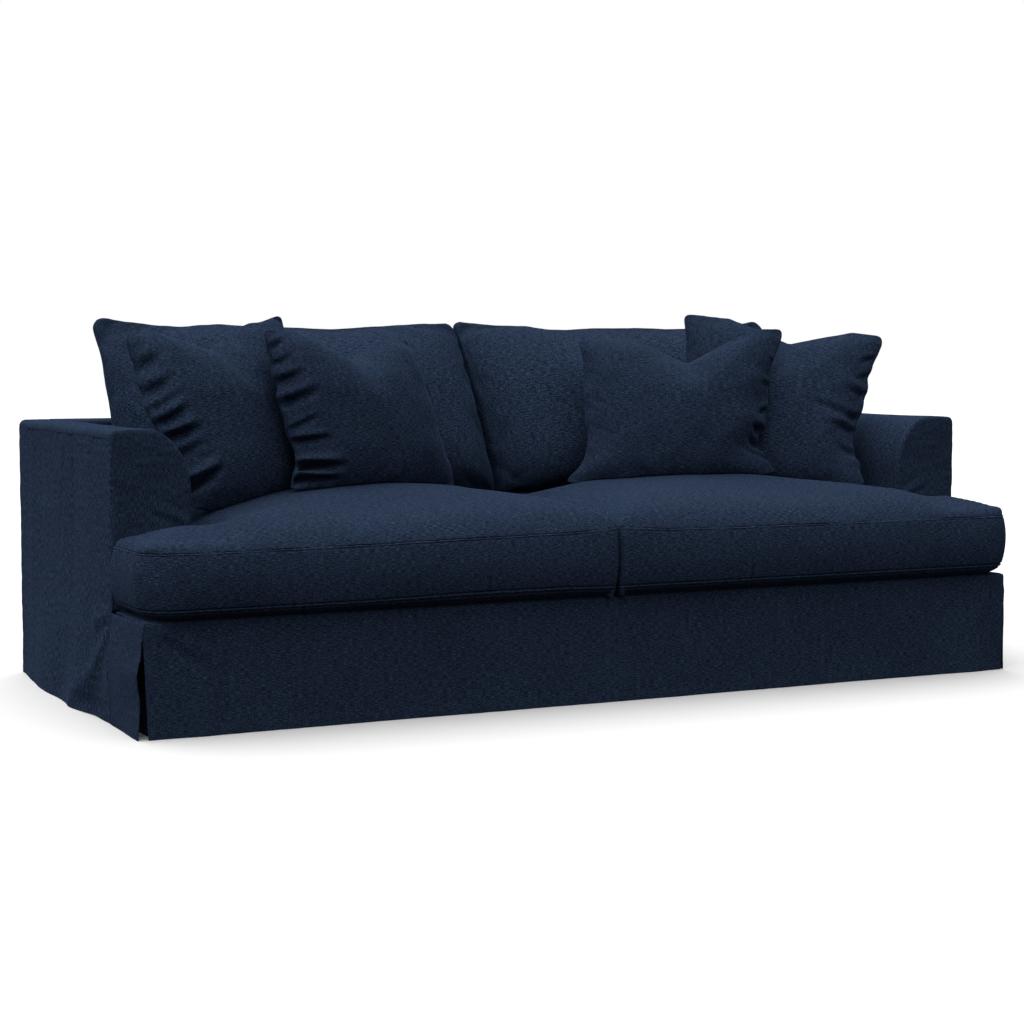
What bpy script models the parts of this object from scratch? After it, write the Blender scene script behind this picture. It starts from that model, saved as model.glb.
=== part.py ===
"""Fitted slipcover set for a wide sofa: body cover with floor-length skirt, two T-shaped seat
cushions, two loose back cushions and four throw pillows, all in one dark blue cloth.

Metres, +Z up, +Y towards the back, X across the width. The origin is on the floor, under the middle.
Left and right are as seen from the front.
"""

import math

import bmesh
import bpy
from mathutils import Vector

# Driving dimensions of the body cover
HALF_WIDTH = 1.195
FRONT_Y = -0.55
ARM_FRONT_Y = -0.319
INSIDE_BACK_Y = 0.40
BACK_Y = 0.585
TOP_Z = 0.677
DECK_Z = 0.262
HEM_Z = 0.0006
CLOTH = 0.003
GAP = 0.0003

# Arm section, seen from the front: a tight outer corner and a wide, round inner shoulder
ARM_INNER_X = 1.005
ARM_CORNER_R = 0.018
SHOULDER_X = 1.115
SHOULDER_Z = 0.535
TOP_SEAM_Z = 0.655
CORNER_STEPS = 3
SHOULDER_STEPS = 9
WALL_ROWS_Z = [0.42, 0.34]

# Outside panels: how far the hem stands out along the arm, and the soft folds that fan from the
# top of the side return
HEM_FLARE = [
    dict(y=-0.319, out=0.006),
    dict(y=-0.20, out=0.012),
    dict(y=-0.04, out=0.027),
    dict(y=0.18, out=0.026),
    dict(y=0.40, out=0.014),
    dict(y=0.585, out=0.0),
]
FLARE_TOP_Z = 0.42
FLARE_POWER = 1.3
SIDE_FOLDS = [
    dict(head_y=-0.318, foot_y=-0.20, depth=-0.012, width=0.050),
    dict(head_y=-0.316, foot_y=-0.06, depth=0.010, width=0.045),
    dict(head_y=0.02, foot_y=0.10, depth=-0.005, width=0.07),
    dict(head_y=0.30, foot_y=0.32, depth=0.005, width=0.08),
]
FOLD_HEAD_Z = 0.30
FOLD_TOP_Z = 0.375
BACK_HEM_OUT = 0.004
BACK_FOLDS = [
    dict(x=-0.98, depth=0.006, width=0.09),
    dict(x=-0.52, depth=0.005, width=0.12),
    dict(x=-0.05, depth=0.006, width=0.11),
    dict(x=0.44, depth=0.005, width=0.13),
    dict(x=0.93, depth=0.006, width=0.09),
]

# Skirt and kick pleats at the front corners
RETURN_X = 1.192
SLIT_TOP_Z = 0.24
RETURN_SWING = {-1: 1.0, 1: 0.15}
SKIRT_EDGE_DRAW = 0.015
RETURN_EDGE = [
    dict(z=0.0, out=0.014),
    dict(z=0.08, out=0.010),
    dict(z=0.14, out=0.016),
    dict(z=0.20, out=0.005),
    dict(z=0.262, out=0.0),
]
RETURN_SEAM_BULGE = 0.010
SEAM_BULGE_REACH = 0.10
SKIRT_WAVES = [
    dict(x=-1.05, depth=0.005, width=0.05),
    dict(x=-0.62, depth=-0.003, width=0.12),
    dict(x=0.10, depth=0.003, width=0.16),
    dict(x=0.70, depth=-0.003, width=0.12),
    dict(x=1.08, depth=0.004, width=0.05),
]
UNDERLAP_INSET = 0.010
UNDERLAP_LEG = 0.095
UNDERLAP_R = 0.012
UNDERLAP_BEND_STEPS = 4

# Seat cushions: boxed, T-shaped, with an ear in front of each arm. The seams rise towards the split.
# A boxing row's share runs from 1 at the upper seam to 0 at the lower seam and -1 at the foot.
SEAT_FRONT_Y = -0.582
SEAT_EAR_X = 1.193
SEAT_SPLIT_X = 0.0055
SEAT_SPLIT_SHIFT = dict(x=-0.010, reach=0.60)
SEAT_NOTCH_GAP = 0.0115
SEAT_BACK_Y = 0.388
SEAT_FOOT_Z = 0.2624
SEAT_EDGE_RISE = 0.047
SEAT_EDGE_REACH = 0.030
SEAT_CROWN = 0.057
SEAT_CROWN_REACH = 0.21
SEAT_ARM_SAG = dict(depth=0.018, from_x=0.90, over=0.12)
SEAT_PRESSED_Z = 0.462
SEAT_PRESSED_FROM_Y = -0.02
SEAT_PRESSED_OVER = 0.18
SEAT_SPLIT_LIFT = dict(height=0.022, width=0.05, over=0.30)
SEAT_ARM_LIFT = dict(height=0.020, width=0.06, over=0.10)
SEAT_CORNERS = dict(front_inner=0.015, front_outer=0.075, ear_back=0.020, back=0.03)
SEAT_SEAMS = {
    -1: [
        dict(x=0.0, upper=0.433, lower=0.289),
        dict(x=0.06, upper=0.429, lower=0.290),
        dict(x=0.16, upper=0.4255, lower=0.293),
        dict(x=0.35, upper=0.4225, lower=0.294),
        dict(x=0.75, upper=0.417, lower=0.276),
        dict(x=1.0, upper=0.415, lower=0.275),
    ],
    1: [
        dict(x=0.0, upper=0.433, lower=0.288),
        dict(x=0.06, upper=0.429, lower=0.289),
        dict(x=0.16, upper=0.4245, lower=0.289),
        dict(x=0.35, upper=0.422, lower=0.289),
        dict(x=1.0, upper=0.4215, lower=0.290),
    ],
}
SEAT_BOXING = [
    dict(out=0.6, share=0.88),
    dict(out=1.0, share=0.56),
    dict(out=0.8, share=0.18),
    dict(out=0.0, share=0.0),
    dict(out=-0.5, share=-0.5),
    dict(out=-2.2, share=-1.0),
]
SEAT_BULGE = 0.011

# Back cushions: leaning, flat behind and round in front, with a narrow boxed edge
BACK_CUSHION = dict(inner_x=0.004, outer_x=0.998, outer_top_x=1.04, foot_z=0.452, top_z=0.935)
BACK_CUSHION_FRONT = dict(foot_y=0.165, top_y=0.385)
BACK_CUSHION_REAR = [
    dict(z=0.462, y=0.396),
    dict(z=0.690, y=0.396),
    dict(z=0.80, y=0.425),
    dict(z=0.935, y=0.455),
]
BACK_CUSHION_CROWN = 0.095
BACK_CUSHION_BOXED = dict(sides=0.10, ends=0.35)
BACK_CUSHION_DIPS = [dict(waves=1, depth=0.008), dict(waves=3, depth=0.004)]
BACK_CUSHION_TOPS = {
    -1: [
        dict(across=0.0, lift=0.004),
        dict(across=0.20, lift=0.004),
        dict(across=0.42, lift=-0.008),
        dict(across=0.70, lift=0.0),
        dict(across=0.85, lift=0.0),
        dict(across=1.0, lift=0.010),
    ],
    1: [
        dict(across=0.0, lift=0.008),
        dict(across=0.20, lift=0.006),
        dict(across=0.30, lift=-0.003),
        dict(across=0.45, lift=-0.006),
        dict(across=0.65, lift=0.0),
        dict(across=0.85, lift=0.0),
        dict(across=1.0, lift=0.018),
    ],
}
BACK_CUSHION_SIDE_BULGE = 0.014
BACK_CUSHION_LEAN = 0.061

# Throw pillows: the four pointed corners of each as if it lay on the right, how far its sides are
# drawn in, where its top edge is chopped and how deep, and the notches of its gathered sides
PILLOWS = {
    ("inner", -1): dict(
        top_in=(0.265, 0.13, 0.886),
        top_out=(0.752, -0.11, 0.909),
        foot_out=(0.709, -0.17, 0.521),
        foot_in=(0.167, 0.04, 0.502),
        draw_in=0.0,
        draw_out=0.012,
        chop_at=-0.04,
        chop_depth=0.073,
    ),
    ("outer", -1): dict(
        top_in=(0.605, 0.16, 0.953),
        top_out=(1.104, -0.12, 0.899),
        foot_out=(0.985, -0.25, 0.488),
        foot_in=(0.53, 0.11, 0.492),
        draw_in=0.020,
        draw_out=0.0,
        chop_at=0.08,
        chop_depth=0.073,
    ),
    ("inner", 1): dict(
        top_in=(0.251, 0.13, 0.887),
        top_out=(0.766, -0.11, 0.921),
        foot_out=(0.703, -0.17, 0.523),
        foot_in=(0.165, 0.04, 0.502),
        draw_in=0.026,
        draw_out=0.027,
        chop_at=0.08,
        chop_depth=0.087,
    ),
    ("outer", 1): dict(
        top_in=(0.605, 0.16, 0.966),
        top_out=(1.100, -0.12, 0.901),
        foot_out=(0.946, -0.25, 0.488),
        foot_in=(0.53, 0.11, 0.492),
        draw_in=0.020,
        draw_out=0.024,
        chop_at=0.08,
        chop_depth=0.056,
    ),
}
PILLOW_NOTCHES = {
    ("inner", -1): [dict(edge=1, v=-0.55, depth=0.026, width=0.32)],
    ("outer", -1): [
        dict(edge=1, v=0.10, depth=-0.022, width=0.45),
        dict(edge=1, v=-0.48, depth=0.016, width=0.30),
    ],
    ("inner", 1): [
        dict(edge=-1, v=-0.55, depth=0.028, width=0.42),
        dict(edge=1, v=-0.62, depth=0.030, width=0.20),
    ],
    ("outer", 1): [dict(edge=1, v=-0.45, depth=0.020, width=0.35)],
}
PILLOW_FRONT_THICKNESS = 0.092
PILLOW_BACK_THICKNESS = 0.072
PILLOW_FOOT_SAG = 0.034
PILLOW_CHOP = dict(reach=0.62, dent=0.030)
PILLOW_ROUNDNESS = 2.4
PILLOW_FULLNESS = 0.62
PILLOW_GATHERS = [
    dict(v=0.72, depth=0.006),
    dict(v=0.38, depth=0.008),
    dict(v=0.02, depth=0.007),
    dict(v=-0.34, depth=0.009),
    dict(v=-0.68, depth=0.008),
]
PILLOW_GATHER_WIDTH = 0.13
PILLOW_GATHER_REACH = 0.24

CLOTH_COLOUR = (0.012, 0.022, 0.052, 1.0)
CLOTH_ROUGHNESS = 0.95
PRESS_CLEARANCE = 0.0005

for old in list(bpy.data.objects):
    bpy.data.objects.remove(old, do_unlink=True)

cover_parts = bpy.data.collections.new("sofa_slipcover")
cutters = bpy.data.collections.new("cutters")
for group in (cover_parts, cutters):
    bpy.context.scene.collection.children.link(group)


# Small helpers


def mix(a, b, t):
    return a + (b - a) * t


def ease(t):
    """Smooth step from 0 to 1."""
    t = min(1.0, max(0.0, t))
    return t * t * (3.0 - 2.0 * t)


def look_up(table, key, column, at):
    """The column's value where the key equals at, eased between the table's rows."""
    rows = sorted(table, key=lambda row: row[key])
    if at <= rows[0][key]:
        return rows[0][column]
    for low, high in zip(rows, rows[1:]):
        if at <= high[key]:
            t = (at - low[key]) / (high[key] - low[key])
            return mix(low[column], high[column], ease(t))
    return rows[-1][column]


def bell(offset, width):
    return math.exp(-((offset / width) ** 2))


def eased_lines(start, end, steps):
    """Grid lines that crowd towards both ends."""
    return [mix(start, end, 0.5 - 0.5 * math.cos(math.pi * step / steps)) for step in range(steps + 1)]


def cloth_material(name):
    material = bpy.data.materials.new(name)
    material.use_nodes = True
    shader = material.node_tree.nodes["Principled BSDF"]
    shader.inputs["Base Color"].default_value = CLOTH_COLOUR
    shader.inputs["Roughness"].default_value = CLOTH_ROUGHNESS
    shader.inputs["Metallic"].default_value = 0.0
    return material


def add_object(name, mesh):
    piece = bpy.data.objects.new(name, mesh)
    cover_parts.objects.link(piece)
    mesh.materials.append(cloth_material(name))
    return piece


def mesh_from(bm, name):
    mesh = bpy.data.meshes.new(name)
    bm.to_mesh(mesh)
    bm.free()
    mesh.shade_smooth()
    return mesh


def unit_grid(columns, rows):
    """A grid whose vertices run from 0 to 1 along X and Y."""
    bm = bmesh.new()
    bmesh.ops.create_grid(bm, x_segments=columns, y_segments=rows, size=0.5)
    for vert in bm.verts:
        vert.co.x = round((vert.co.x + 0.5) * columns) / columns
        vert.co.y = round((vert.co.y + 0.5) * rows) / rows
    return bm


def turn_towards(bm, direction):
    """Flips the faces where they look away from the direction on the whole."""
    bm.normal_update()
    total = sum((face.normal * face.calc_area() for face in bm.faces), Vector())
    if total.dot(direction) < 0.0:
        bmesh.ops.reverse_faces(bm, faces=bm.faces[:])


def close_outward(bm):
    """Faces of a closed form made triangles, all pointing out."""
    bmesh.ops.triangulate(bm, faces=bm.faces[:])
    bmesh.ops.recalc_face_normals(bm, faces=bm.faces[:])
    if bm.calc_volume(signed=True) < 0.0:
        bmesh.ops.reverse_faces(bm, faces=bm.faces[:])


def hung_sheet(name, bm, place, outward):
    """A cloth panel: place gives the outer surface, and the cloth's thickness lies inside it."""
    for vert in bm.verts:
        vert.co = place(vert.co.x, vert.co.y)
    turn_towards(bm, Vector(outward))
    piece = add_object(name, mesh_from(bm, name))
    thicken = piece.modifiers.new("cloth", "SOLIDIFY")
    thicken.thickness = CLOTH
    thicken.offset = -1.0
    return piece


def flat_panel(name, outline, thickness, location, rotation=(0.0, 0.0, 0.0)):
    """A flat panel cut to an outline of (x, y) points, centred on its own plane."""
    curve = bpy.data.curves.new(name, "CURVE")
    curve.dimensions = "2D"
    curve.fill_mode = "BOTH"
    curve.extrude = thickness / 2.0
    spline = curve.splines.new("POLY")
    spline.points.add(len(outline) - 1)
    for point, (x, y) in zip(spline.points, outline):
        point.co = (x, y, 0.0, 1.0)
    spline.use_cyclic_u = True
    piece = bpy.data.objects.new(name, curve)
    cover_parts.objects.link(piece)
    curve.materials.append(cloth_material(name))
    piece.location = location
    piece.rotation_euler = rotation
    return piece


def name_of(side):
    return "left" if side < 0 else "right"


# Arm section


def arm_section(inset=0.0):
    """(x, z) points over the arm's top, from the outer corner to the foot of the round shoulder."""
    corner_x = HALF_WIDTH - ARM_CORNER_R
    corner_z = TOP_Z - ARM_CORNER_R
    points = []
    for step in range(CORNER_STEPS + 1):
        angle = math.pi / 2.0 * step / CORNER_STEPS
        reach = ARM_CORNER_R - inset
        points.append((corner_x + reach * math.cos(angle), corner_z + reach * math.sin(angle)))
    wide = SHOULDER_X - ARM_INNER_X - inset
    tall = TOP_Z - SHOULDER_Z - inset
    for step in range(SHOULDER_STEPS + 1):
        angle = math.pi / 2.0 * step / SHOULDER_STEPS
        points.append((SHOULDER_X - wide * math.sin(angle), SHOULDER_Z + tall * math.cos(angle)))
    return points


def make_inside_arm(side):
    """Arm top and inner wall in one panel; its flat outer strip alone goes on past the inside back."""
    section = [(HALF_WIDTH, TOP_SEAM_Z + GAP)] + arm_section()
    section += [(ARM_INNER_X, z) for z in WALL_ROWS_Z + [DECK_Z + GAP]]
    top_panels = CORNER_STEPS + 2
    lengths = 4
    bm = unit_grid(len(section) - 1, lengths + 1)
    spare = []
    for face in bm.faces:
        middle = face.calc_center_median()
        behind_seat = middle.y * (lengths + 1) > lengths
        if behind_seat and middle.x * (len(section) - 1) > top_panels:
            spare.append(face)
    bmesh.ops.delete(bm, geom=spare, context="FACES")

    def place(u, v):
        x, z = section[round(u * (len(section) - 1))]
        line = round(v * (lengths + 1))
        y = mix(ARM_FRONT_Y, INSIDE_BACK_Y - GAP, line / lengths)
        if line > lengths:
            y = BACK_Y - CLOTH - GAP
        return Vector((side * x, y, z))

    return hung_sheet(f"inside_arm_{name_of(side)}", bm, place, (-side, 0.0, 1.0))


def make_arm_front(side):
    inset = CLOTH + GAP
    outline = [(HALF_WIDTH - inset, DECK_Z + GAP)]
    outline += arm_section(inset)
    outline += [(ARM_INNER_X + inset, DECK_Z + GAP)]
    outline = [(side * x, z) for x, z in outline]
    middle_y = ARM_FRONT_Y + CLOTH / 2.0
    upright = (math.pi / 2.0, 0.0, 0.0)
    return flat_panel(f"arm_front_{name_of(side)}", outline, CLOTH, (0.0, middle_y, 0.0), upright)


# Outside panels


def seam_bulge(z):
    """The outside arm's front seam bows out a little between the deck and the floor."""
    if z >= DECK_Z:
        return 0.0
    return RETURN_SEAM_BULGE * math.sin(math.pi * z / DECK_Z) ** 0.8


def make_outside_arm(side):
    columns = 20
    rows = 11
    bm = unit_grid(columns, rows)

    def place(u, v):
        y = mix(ARM_FRONT_Y, BACK_Y - CLOTH - GAP, u ** 1.6)
        z = mix(HEM_Z, TOP_SEAM_Z, v)
        low = max(0.0, 1.0 - z / FLARE_TOP_Z)
        out = look_up(HEM_FLARE, "y", "out", y) * low ** FLARE_POWER
        out += seam_bulge(z) * bell(y - ARM_FRONT_Y, SEAM_BULGE_REACH)
        seam_hold = ease((y - ARM_FRONT_Y) / 0.04) * ease((BACK_Y - y) / 0.08)
        for fold in SIDE_FOLDS:
            line = mix(fold["foot_y"], fold["head_y"], z / FOLD_HEAD_Z)
            fade = ease(1.0 - z / FOLD_TOP_Z)
            out += fold["depth"] * fade * seam_hold * bell(y - line, fold["width"])
        return Vector((side * (HALF_WIDTH + out), y, z))

    return hung_sheet(f"outside_arm_{name_of(side)}", bm, place, (side, 0.0, 0.0))


def make_side_return(side):
    bm = unit_grid(6, 7)

    def place(u, v):
        y = mix(FRONT_Y + CLOTH + GAP, ARM_FRONT_Y - GAP, u)
        z = mix(HEM_Z, DECK_Z, v)
        free = look_up(RETURN_EDGE, "z", "out", z) * RETURN_SWING[side]
        at_seam = HALF_WIDTH + look_up(HEM_FLARE, "y", "out", ARM_FRONT_Y) * (
            max(0.0, 1.0 - z / FLARE_TOP_Z) ** FLARE_POWER
        )
        x = mix(RETURN_X + free, at_seam + seam_bulge(z), ease(u))
        return Vector((side * x, y, z))

    return hung_sheet(f"side_return_{name_of(side)}", bm, place, (side, 0.0, 0.0))


def make_front_skirt():
    bm = unit_grid(28, 6)

    def place(u, v):
        z = mix(HEM_Z, DECK_Z, v)
        open_slit = max(0.0, 1.0 - z / SLIT_TOP_Z)
        half = RETURN_X - GAP - SKIRT_EDGE_DRAW * open_slit
        x = mix(-half, half, u)
        wave = sum(row["depth"] * bell(x - row["x"], row["width"]) for row in SKIRT_WAVES)
        return Vector((x, FRONT_Y - wave * open_slit, z))

    return hung_sheet("front_skirt", bm, place, (0.0, -1.0, 0.0))


def make_underlap(side):
    """The L-shaped cloth behind the slit, folded round the corner under the deck."""
    front = FRONT_Y + CLOTH + UNDERLAP_INSET
    outer = RETURN_X - CLOTH - UNDERLAP_INSET
    path = [(outer - UNDERLAP_LEG, front)]
    for step in range(UNDERLAP_BEND_STEPS + 1):
        angle = math.pi / 2.0 * step / UNDERLAP_BEND_STEPS
        x = outer - UNDERLAP_R * (1.0 - math.sin(angle))
        y = front + UNDERLAP_R * (1.0 - math.cos(angle))
        path.append((x, y))
    path.append((outer, front + UNDERLAP_LEG))
    bm = unit_grid(len(path) - 1, 3)

    def place(u, v):
        x, y = path[round(u * (len(path) - 1))]
        return Vector((side * x, y, mix(HEM_Z, DECK_Z - CLOTH - GAP, v)))

    return hung_sheet(f"pleat_underlap_{name_of(side)}", bm, place, (side, -1.0, 0.0))


def make_outside_back():
    columns = 26
    wall_rows = 7
    rows = wall_rows + CORNER_STEPS
    bm = unit_grid(columns, rows)
    corner_start = TOP_Z - ARM_CORNER_R
    heights = [mix(HEM_Z, corner_start, step / wall_rows) for step in range(wall_rows + 1)]
    for step in range(CORNER_STEPS):
        angle = math.pi / 2.0 * (step + 1) / CORNER_STEPS
        heights.append(corner_start + ARM_CORNER_R * math.sin(angle))

    def place(u, v):
        z = heights[round(v * rows)]
        half = HALF_WIDTH
        if z > corner_start:
            rise = (z - corner_start) / ARM_CORNER_R
            half -= ARM_CORNER_R * (1.0 - math.sqrt(max(0.0, 1.0 - rise * rise)))
        x = mix(-half, half, u)
        low = max(0.0, 1.0 - z / FLARE_TOP_Z) * ease((HALF_WIDTH - abs(x)) / 0.12)
        wave = sum(row["depth"] * bell(x - row["x"], row["width"]) for row in BACK_FOLDS)
        return Vector((x, BACK_Y + (BACK_HEM_OUT + wave) * low, z))

    return hung_sheet("outside_back", bm, place, (0.0, 1.0, 0.0))


# Inside panels


def make_inside_back():
    """Each row is (y, z, half width): it ends behind the arms, whose round shoulder it follows."""
    shoulder = arm_section(CLOTH)[-1 - SHOULDER_STEPS:]
    widest = SHOULDER_X - GAP
    wall = [DECK_Z + GAP] + sorted(WALL_ROWS_Z)
    rows = [(INSIDE_BACK_Y, z, ARM_INNER_X + CLOTH) for z in wall]
    rows += [(INSIDE_BACK_Y, z, min(x, widest)) for x, z in reversed(shoulder)]
    rows += [(INSIDE_BACK_Y + CLOTH, TOP_Z, widest), (BACK_Y - CLOTH - GAP, TOP_Z, widest)]
    bm = unit_grid(10, len(rows) - 1)

    def place(u, v):
        y, z, half = rows[round(v * (len(rows) - 1))]
        return Vector((mix(-half, half, u), y, z))

    return hung_sheet("inside_back", bm, place, (0.0, -1.0, 1.0))


def make_deck():
    front = FRONT_Y + CLOTH + GAP
    ear_x = RETURN_X - CLOTH - GAP
    ear_back = ARM_FRONT_Y + CLOTH
    arm_x = ARM_INNER_X + CLOTH
    rear = INSIDE_BACK_Y + CLOTH
    half = [(ear_x, front), (ear_x, ear_back), (arm_x, ear_back), (arm_x, rear)]
    outline = half + [(-x, y) for x, y in reversed(half)]
    return flat_panel("deck", outline, CLOTH, (0.0, 0.0, DECK_Z - CLOTH / 2.0))


# Seat cushions


def round_corner(x, y, corner_x, corner_y, radius):
    """Draws a square corner in to a round one, with the grid inside it following."""
    sign_x = 1.0 if corner_x[1] > 0 else -1.0
    sign_y = 1.0 if corner_y[1] > 0 else -1.0
    u = (sign_x * (x - corner_x[0]) + radius) / radius
    v = (sign_y * (y - corner_y[0]) + radius) / radius
    if u <= 0.0 or v <= 0.0:
        return x, y
    round_u = u * math.sqrt(1.0 - v * v / 2.0)
    round_v = v * math.sqrt(1.0 - u * u / 2.0)
    x = corner_x[0] + sign_x * (round_u - 1.0) * radius
    y = corner_y[0] + sign_y * (round_v - 1.0) * radius
    return x, y


def seat_edge_distance(x, y):
    """Distance from the T-shaped outline of a right-hand seat cushion."""
    notch_x = ARM_INNER_X - SEAT_NOTCH_GAP
    notch_y = ARM_FRONT_Y - SEAT_NOTCH_GAP
    sides = [x - SEAT_SPLIT_X, y - SEAT_FRONT_Y, SEAT_EAR_X - x, SEAT_BACK_Y - y]
    past_x = notch_x - x
    past_y = notch_y - y
    if past_x > 0.0 and past_y > 0.0:
        sides.append(math.hypot(past_x, past_y))
    else:
        sides.append(max(past_x, past_y))
    return max(0.0, min(sides))


def seat_top(x, y, side):
    """Height of the crowned top, pressed flat under the back cushion."""
    edge = seat_edge_distance(x, y)
    lift = SEAT_SPLIT_LIFT
    near_split = bell(x - SEAT_SPLIT_X, lift["width"]) * ease((y - SEAT_FRONT_Y) / lift["over"])
    seam = look_up(SEAT_SEAMS[side], "x", "upper", x) + lift["height"] * near_split
    lift = SEAT_ARM_LIFT
    beside_arm = bell(x - ARM_INNER_X, lift["width"]) * ease((y - ARM_FRONT_Y) / lift["over"])
    seam += lift["height"] * beside_arm
    rise = SEAT_EDGE_RISE * (1.0 - math.exp(-edge / SEAT_EDGE_REACH))
    crown = SEAT_CROWN * (1.0 - math.exp(-((edge / SEAT_CROWN_REACH) ** 1.5)))
    sag = SEAT_ARM_SAG
    sunk = sag["depth"] * ease((x - sag["from_x"]) / sag["over"]) * ease(edge / 0.05)
    pressed = ease((y - SEAT_PRESSED_FROM_Y) / SEAT_PRESSED_OVER)
    return mix(seam + rise + crown - sunk, SEAT_PRESSED_Z, pressed)


def seat_top_grid(side):
    """The T-shaped top of a seat cushion as if it lay on the right, as one open surface."""
    notch_x = ARM_INNER_X - SEAT_NOTCH_GAP
    notch_y = ARM_FRONT_Y - SEAT_NOTCH_GAP
    body_columns = 10
    front_rows = 5
    x_lines = eased_lines(SEAT_SPLIT_X, notch_x, body_columns) + eased_lines(notch_x, SEAT_EAR_X, 5)[1:]
    y_lines = eased_lines(SEAT_FRONT_Y, notch_y, front_rows) + eased_lines(notch_y, SEAT_BACK_Y, 9)[1:]
    columns = len(x_lines) - 1
    rows = len(y_lines) - 1
    bm = unit_grid(columns, rows)
    beside_arm = []
    for face in bm.faces:
        middle = face.calc_center_median()
        if middle.x * columns > body_columns and middle.y * rows > front_rows:
            beside_arm.append(face)
    bmesh.ops.delete(bm, geom=beside_arm, context="FACES")

    corners = SEAT_CORNERS
    for vert in bm.verts:
        x = x_lines[round(vert.co.x * columns)]
        y = y_lines[round(vert.co.y * rows)]
        z = seat_top(x, y, side)
        x, y = round_corner(x, y, (SEAT_SPLIT_X, -1), (SEAT_FRONT_Y, -1), corners["front_inner"])
        x, y = round_corner(x, y, (SEAT_EAR_X, 1), (SEAT_FRONT_Y, -1), corners["front_outer"])
        x, y = round_corner(x, y, (SEAT_EAR_X, 1), (notch_y, 1), corners["ear_back"])
        x, y = round_corner(x, y, (SEAT_SPLIT_X, -1), (SEAT_BACK_Y, 1), corners["back"])
        vert.co = (x, y, z)
    turn_towards(bm, Vector((0.0, 0.0, 1.0)))
    return bm


def rim_directions(rim):
    """For each point of an open rim, its place and the level direction out of the form."""
    outward = {}
    for edge in rim:
        start, end = edge.verts
        along = end.co - start.co
        normal = Vector((along.y, -along.x, 0.0)).normalized()
        inside = edge.link_faces[0].calc_center_median()
        if normal.dot((start.co + end.co) / 2.0 - inside) < 0.0:
            normal.negate()
        for vert in edge.verts:
            outward[vert] = outward.get(vert, Vector()) + normal
    return {vert: (vert.co.copy(), direction.normalized()) for vert, direction in outward.items()}


def make_seat_cushion(side):
    bm = seat_top_grid(side)
    ring = [edge for edge in bm.edges if edge.is_boundary]
    seam = rim_directions(ring)
    for row in SEAT_BOXING:
        grown = bmesh.ops.extrude_edge_only(bm, edges=ring)["geom"]
        ring = [item for item in grown if isinstance(item, bmesh.types.BMEdge)]
        lowered = {}
        for vert in {vert for edge in ring for vert in edge.verts}:
            above = min(seam, key=lambda old: (old.co - vert.co).length)
            lowered[vert] = seam[above]
        for vert, (at_seam, direction) in lowered.items():
            lower = look_up(SEAT_SEAMS[side], "x", "lower", at_seam.x)
            snug = 1.0 - 0.65 * max(0.0, -direction.x) ** 2
            vert.co = at_seam + direction * row["out"] * SEAT_BULGE * snug
            if row["share"] >= 0.0:
                vert.co.z = mix(lower, at_seam.z, row["share"])
            else:
                vert.co.z = mix(lower, SEAT_FOOT_Z, -row["share"])
        seam = lowered
    bmesh.ops.contextual_create(bm, geom=ring)
    for vert in bm.verts:
        vert.co.x *= side
        near_split = max(0.0, 1.0 - abs(vert.co.x) / SEAT_SPLIT_SHIFT["reach"])
        vert.co.x += SEAT_SPLIT_SHIFT["x"] * near_split ** 2
    close_outward(bm)
    name = f"seat_cushion_{name_of(side)}"
    return add_object(name, mesh_from(bm, name))


# Filled pieces made of two faces that meet at a seam


def two_faced(name, columns, rows, place, side):
    """A closed filled form: place(u, v, face) gives the front (face 1) and back (face -1)."""
    whole = bmesh.new()
    for face_sign in (1, -1):
        half = unit_grid(columns, rows)
        for vert in half.verts:
            vert.co = place(vert.co.x * 2.0 - 1.0, vert.co.y * 2.0 - 1.0, face_sign)
        scratch = bpy.data.meshes.new("half")
        half.to_mesh(scratch)
        half.free()
        whole.from_mesh(scratch)
        bpy.data.meshes.remove(scratch)
    bmesh.ops.remove_doubles(whole, verts=whole.verts[:], dist=0.00001)
    for vert in whole.verts:
        vert.co.x *= side
    close_outward(whole)
    return add_object(name, mesh_from(whole, name))


def make_back_cushion(side):
    size = BACK_CUSHION
    front = BACK_CUSHION_FRONT

    def place(u, v, face):
        across = (math.sin(u * math.pi / 2.0) + 1.0) / 2.0
        rise = (math.sin(v * math.pi / 2.0) + 1.0) / 2.0
        fat_u = 1.0 - abs(2.0 * across - 1.0) ** 3.2
        fat_v = 1.0 - abs(2.0 * rise - 1.0) ** 3.0
        outer = mix(size["outer_x"], size["outer_top_x"], rise ** 3)
        outer += BACK_CUSHION_SIDE_BULGE * math.sin(math.pi * rise) ** 2
        inner = size["inner_x"] + side * BACK_CUSHION_LEAN * (1.0 - rise) ** 1.25
        x = mix(inner, outer, across)
        z = mix(size["foot_z"], size["top_z"], rise)
        dip = sum(row["depth"] * math.sin(row["waves"] * math.pi * across) for row in BACK_CUSHION_DIPS)
        lift = look_up(BACK_CUSHION_TOPS[side], "across", "lift", across)
        z += (lift - dip) * rise ** 2
        rear_y = look_up(BACK_CUSHION_REAR, "z", "y", z)
        front_y = mix(front["foot_y"], front["top_y"], rise)
        edge_y = mix(front_y, rear_y, 0.5)
        boxed = fat_u ** BACK_CUSHION_BOXED["sides"] * fat_v ** BACK_CUSHION_BOXED["ends"]
        if face > 0:
            y = mix(edge_y, front_y - 0.01 * fat_v, boxed) - BACK_CUSHION_CROWN * fat_u * fat_v
        else:
            y = mix(edge_y, rear_y, boxed)
        return Vector((x, y, max(z, SEAT_PRESSED_Z + PRESS_CLEARANCE)))

    return two_faced(f"back_cushion_{name_of(side)}", 13, 11, place, side)


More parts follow.
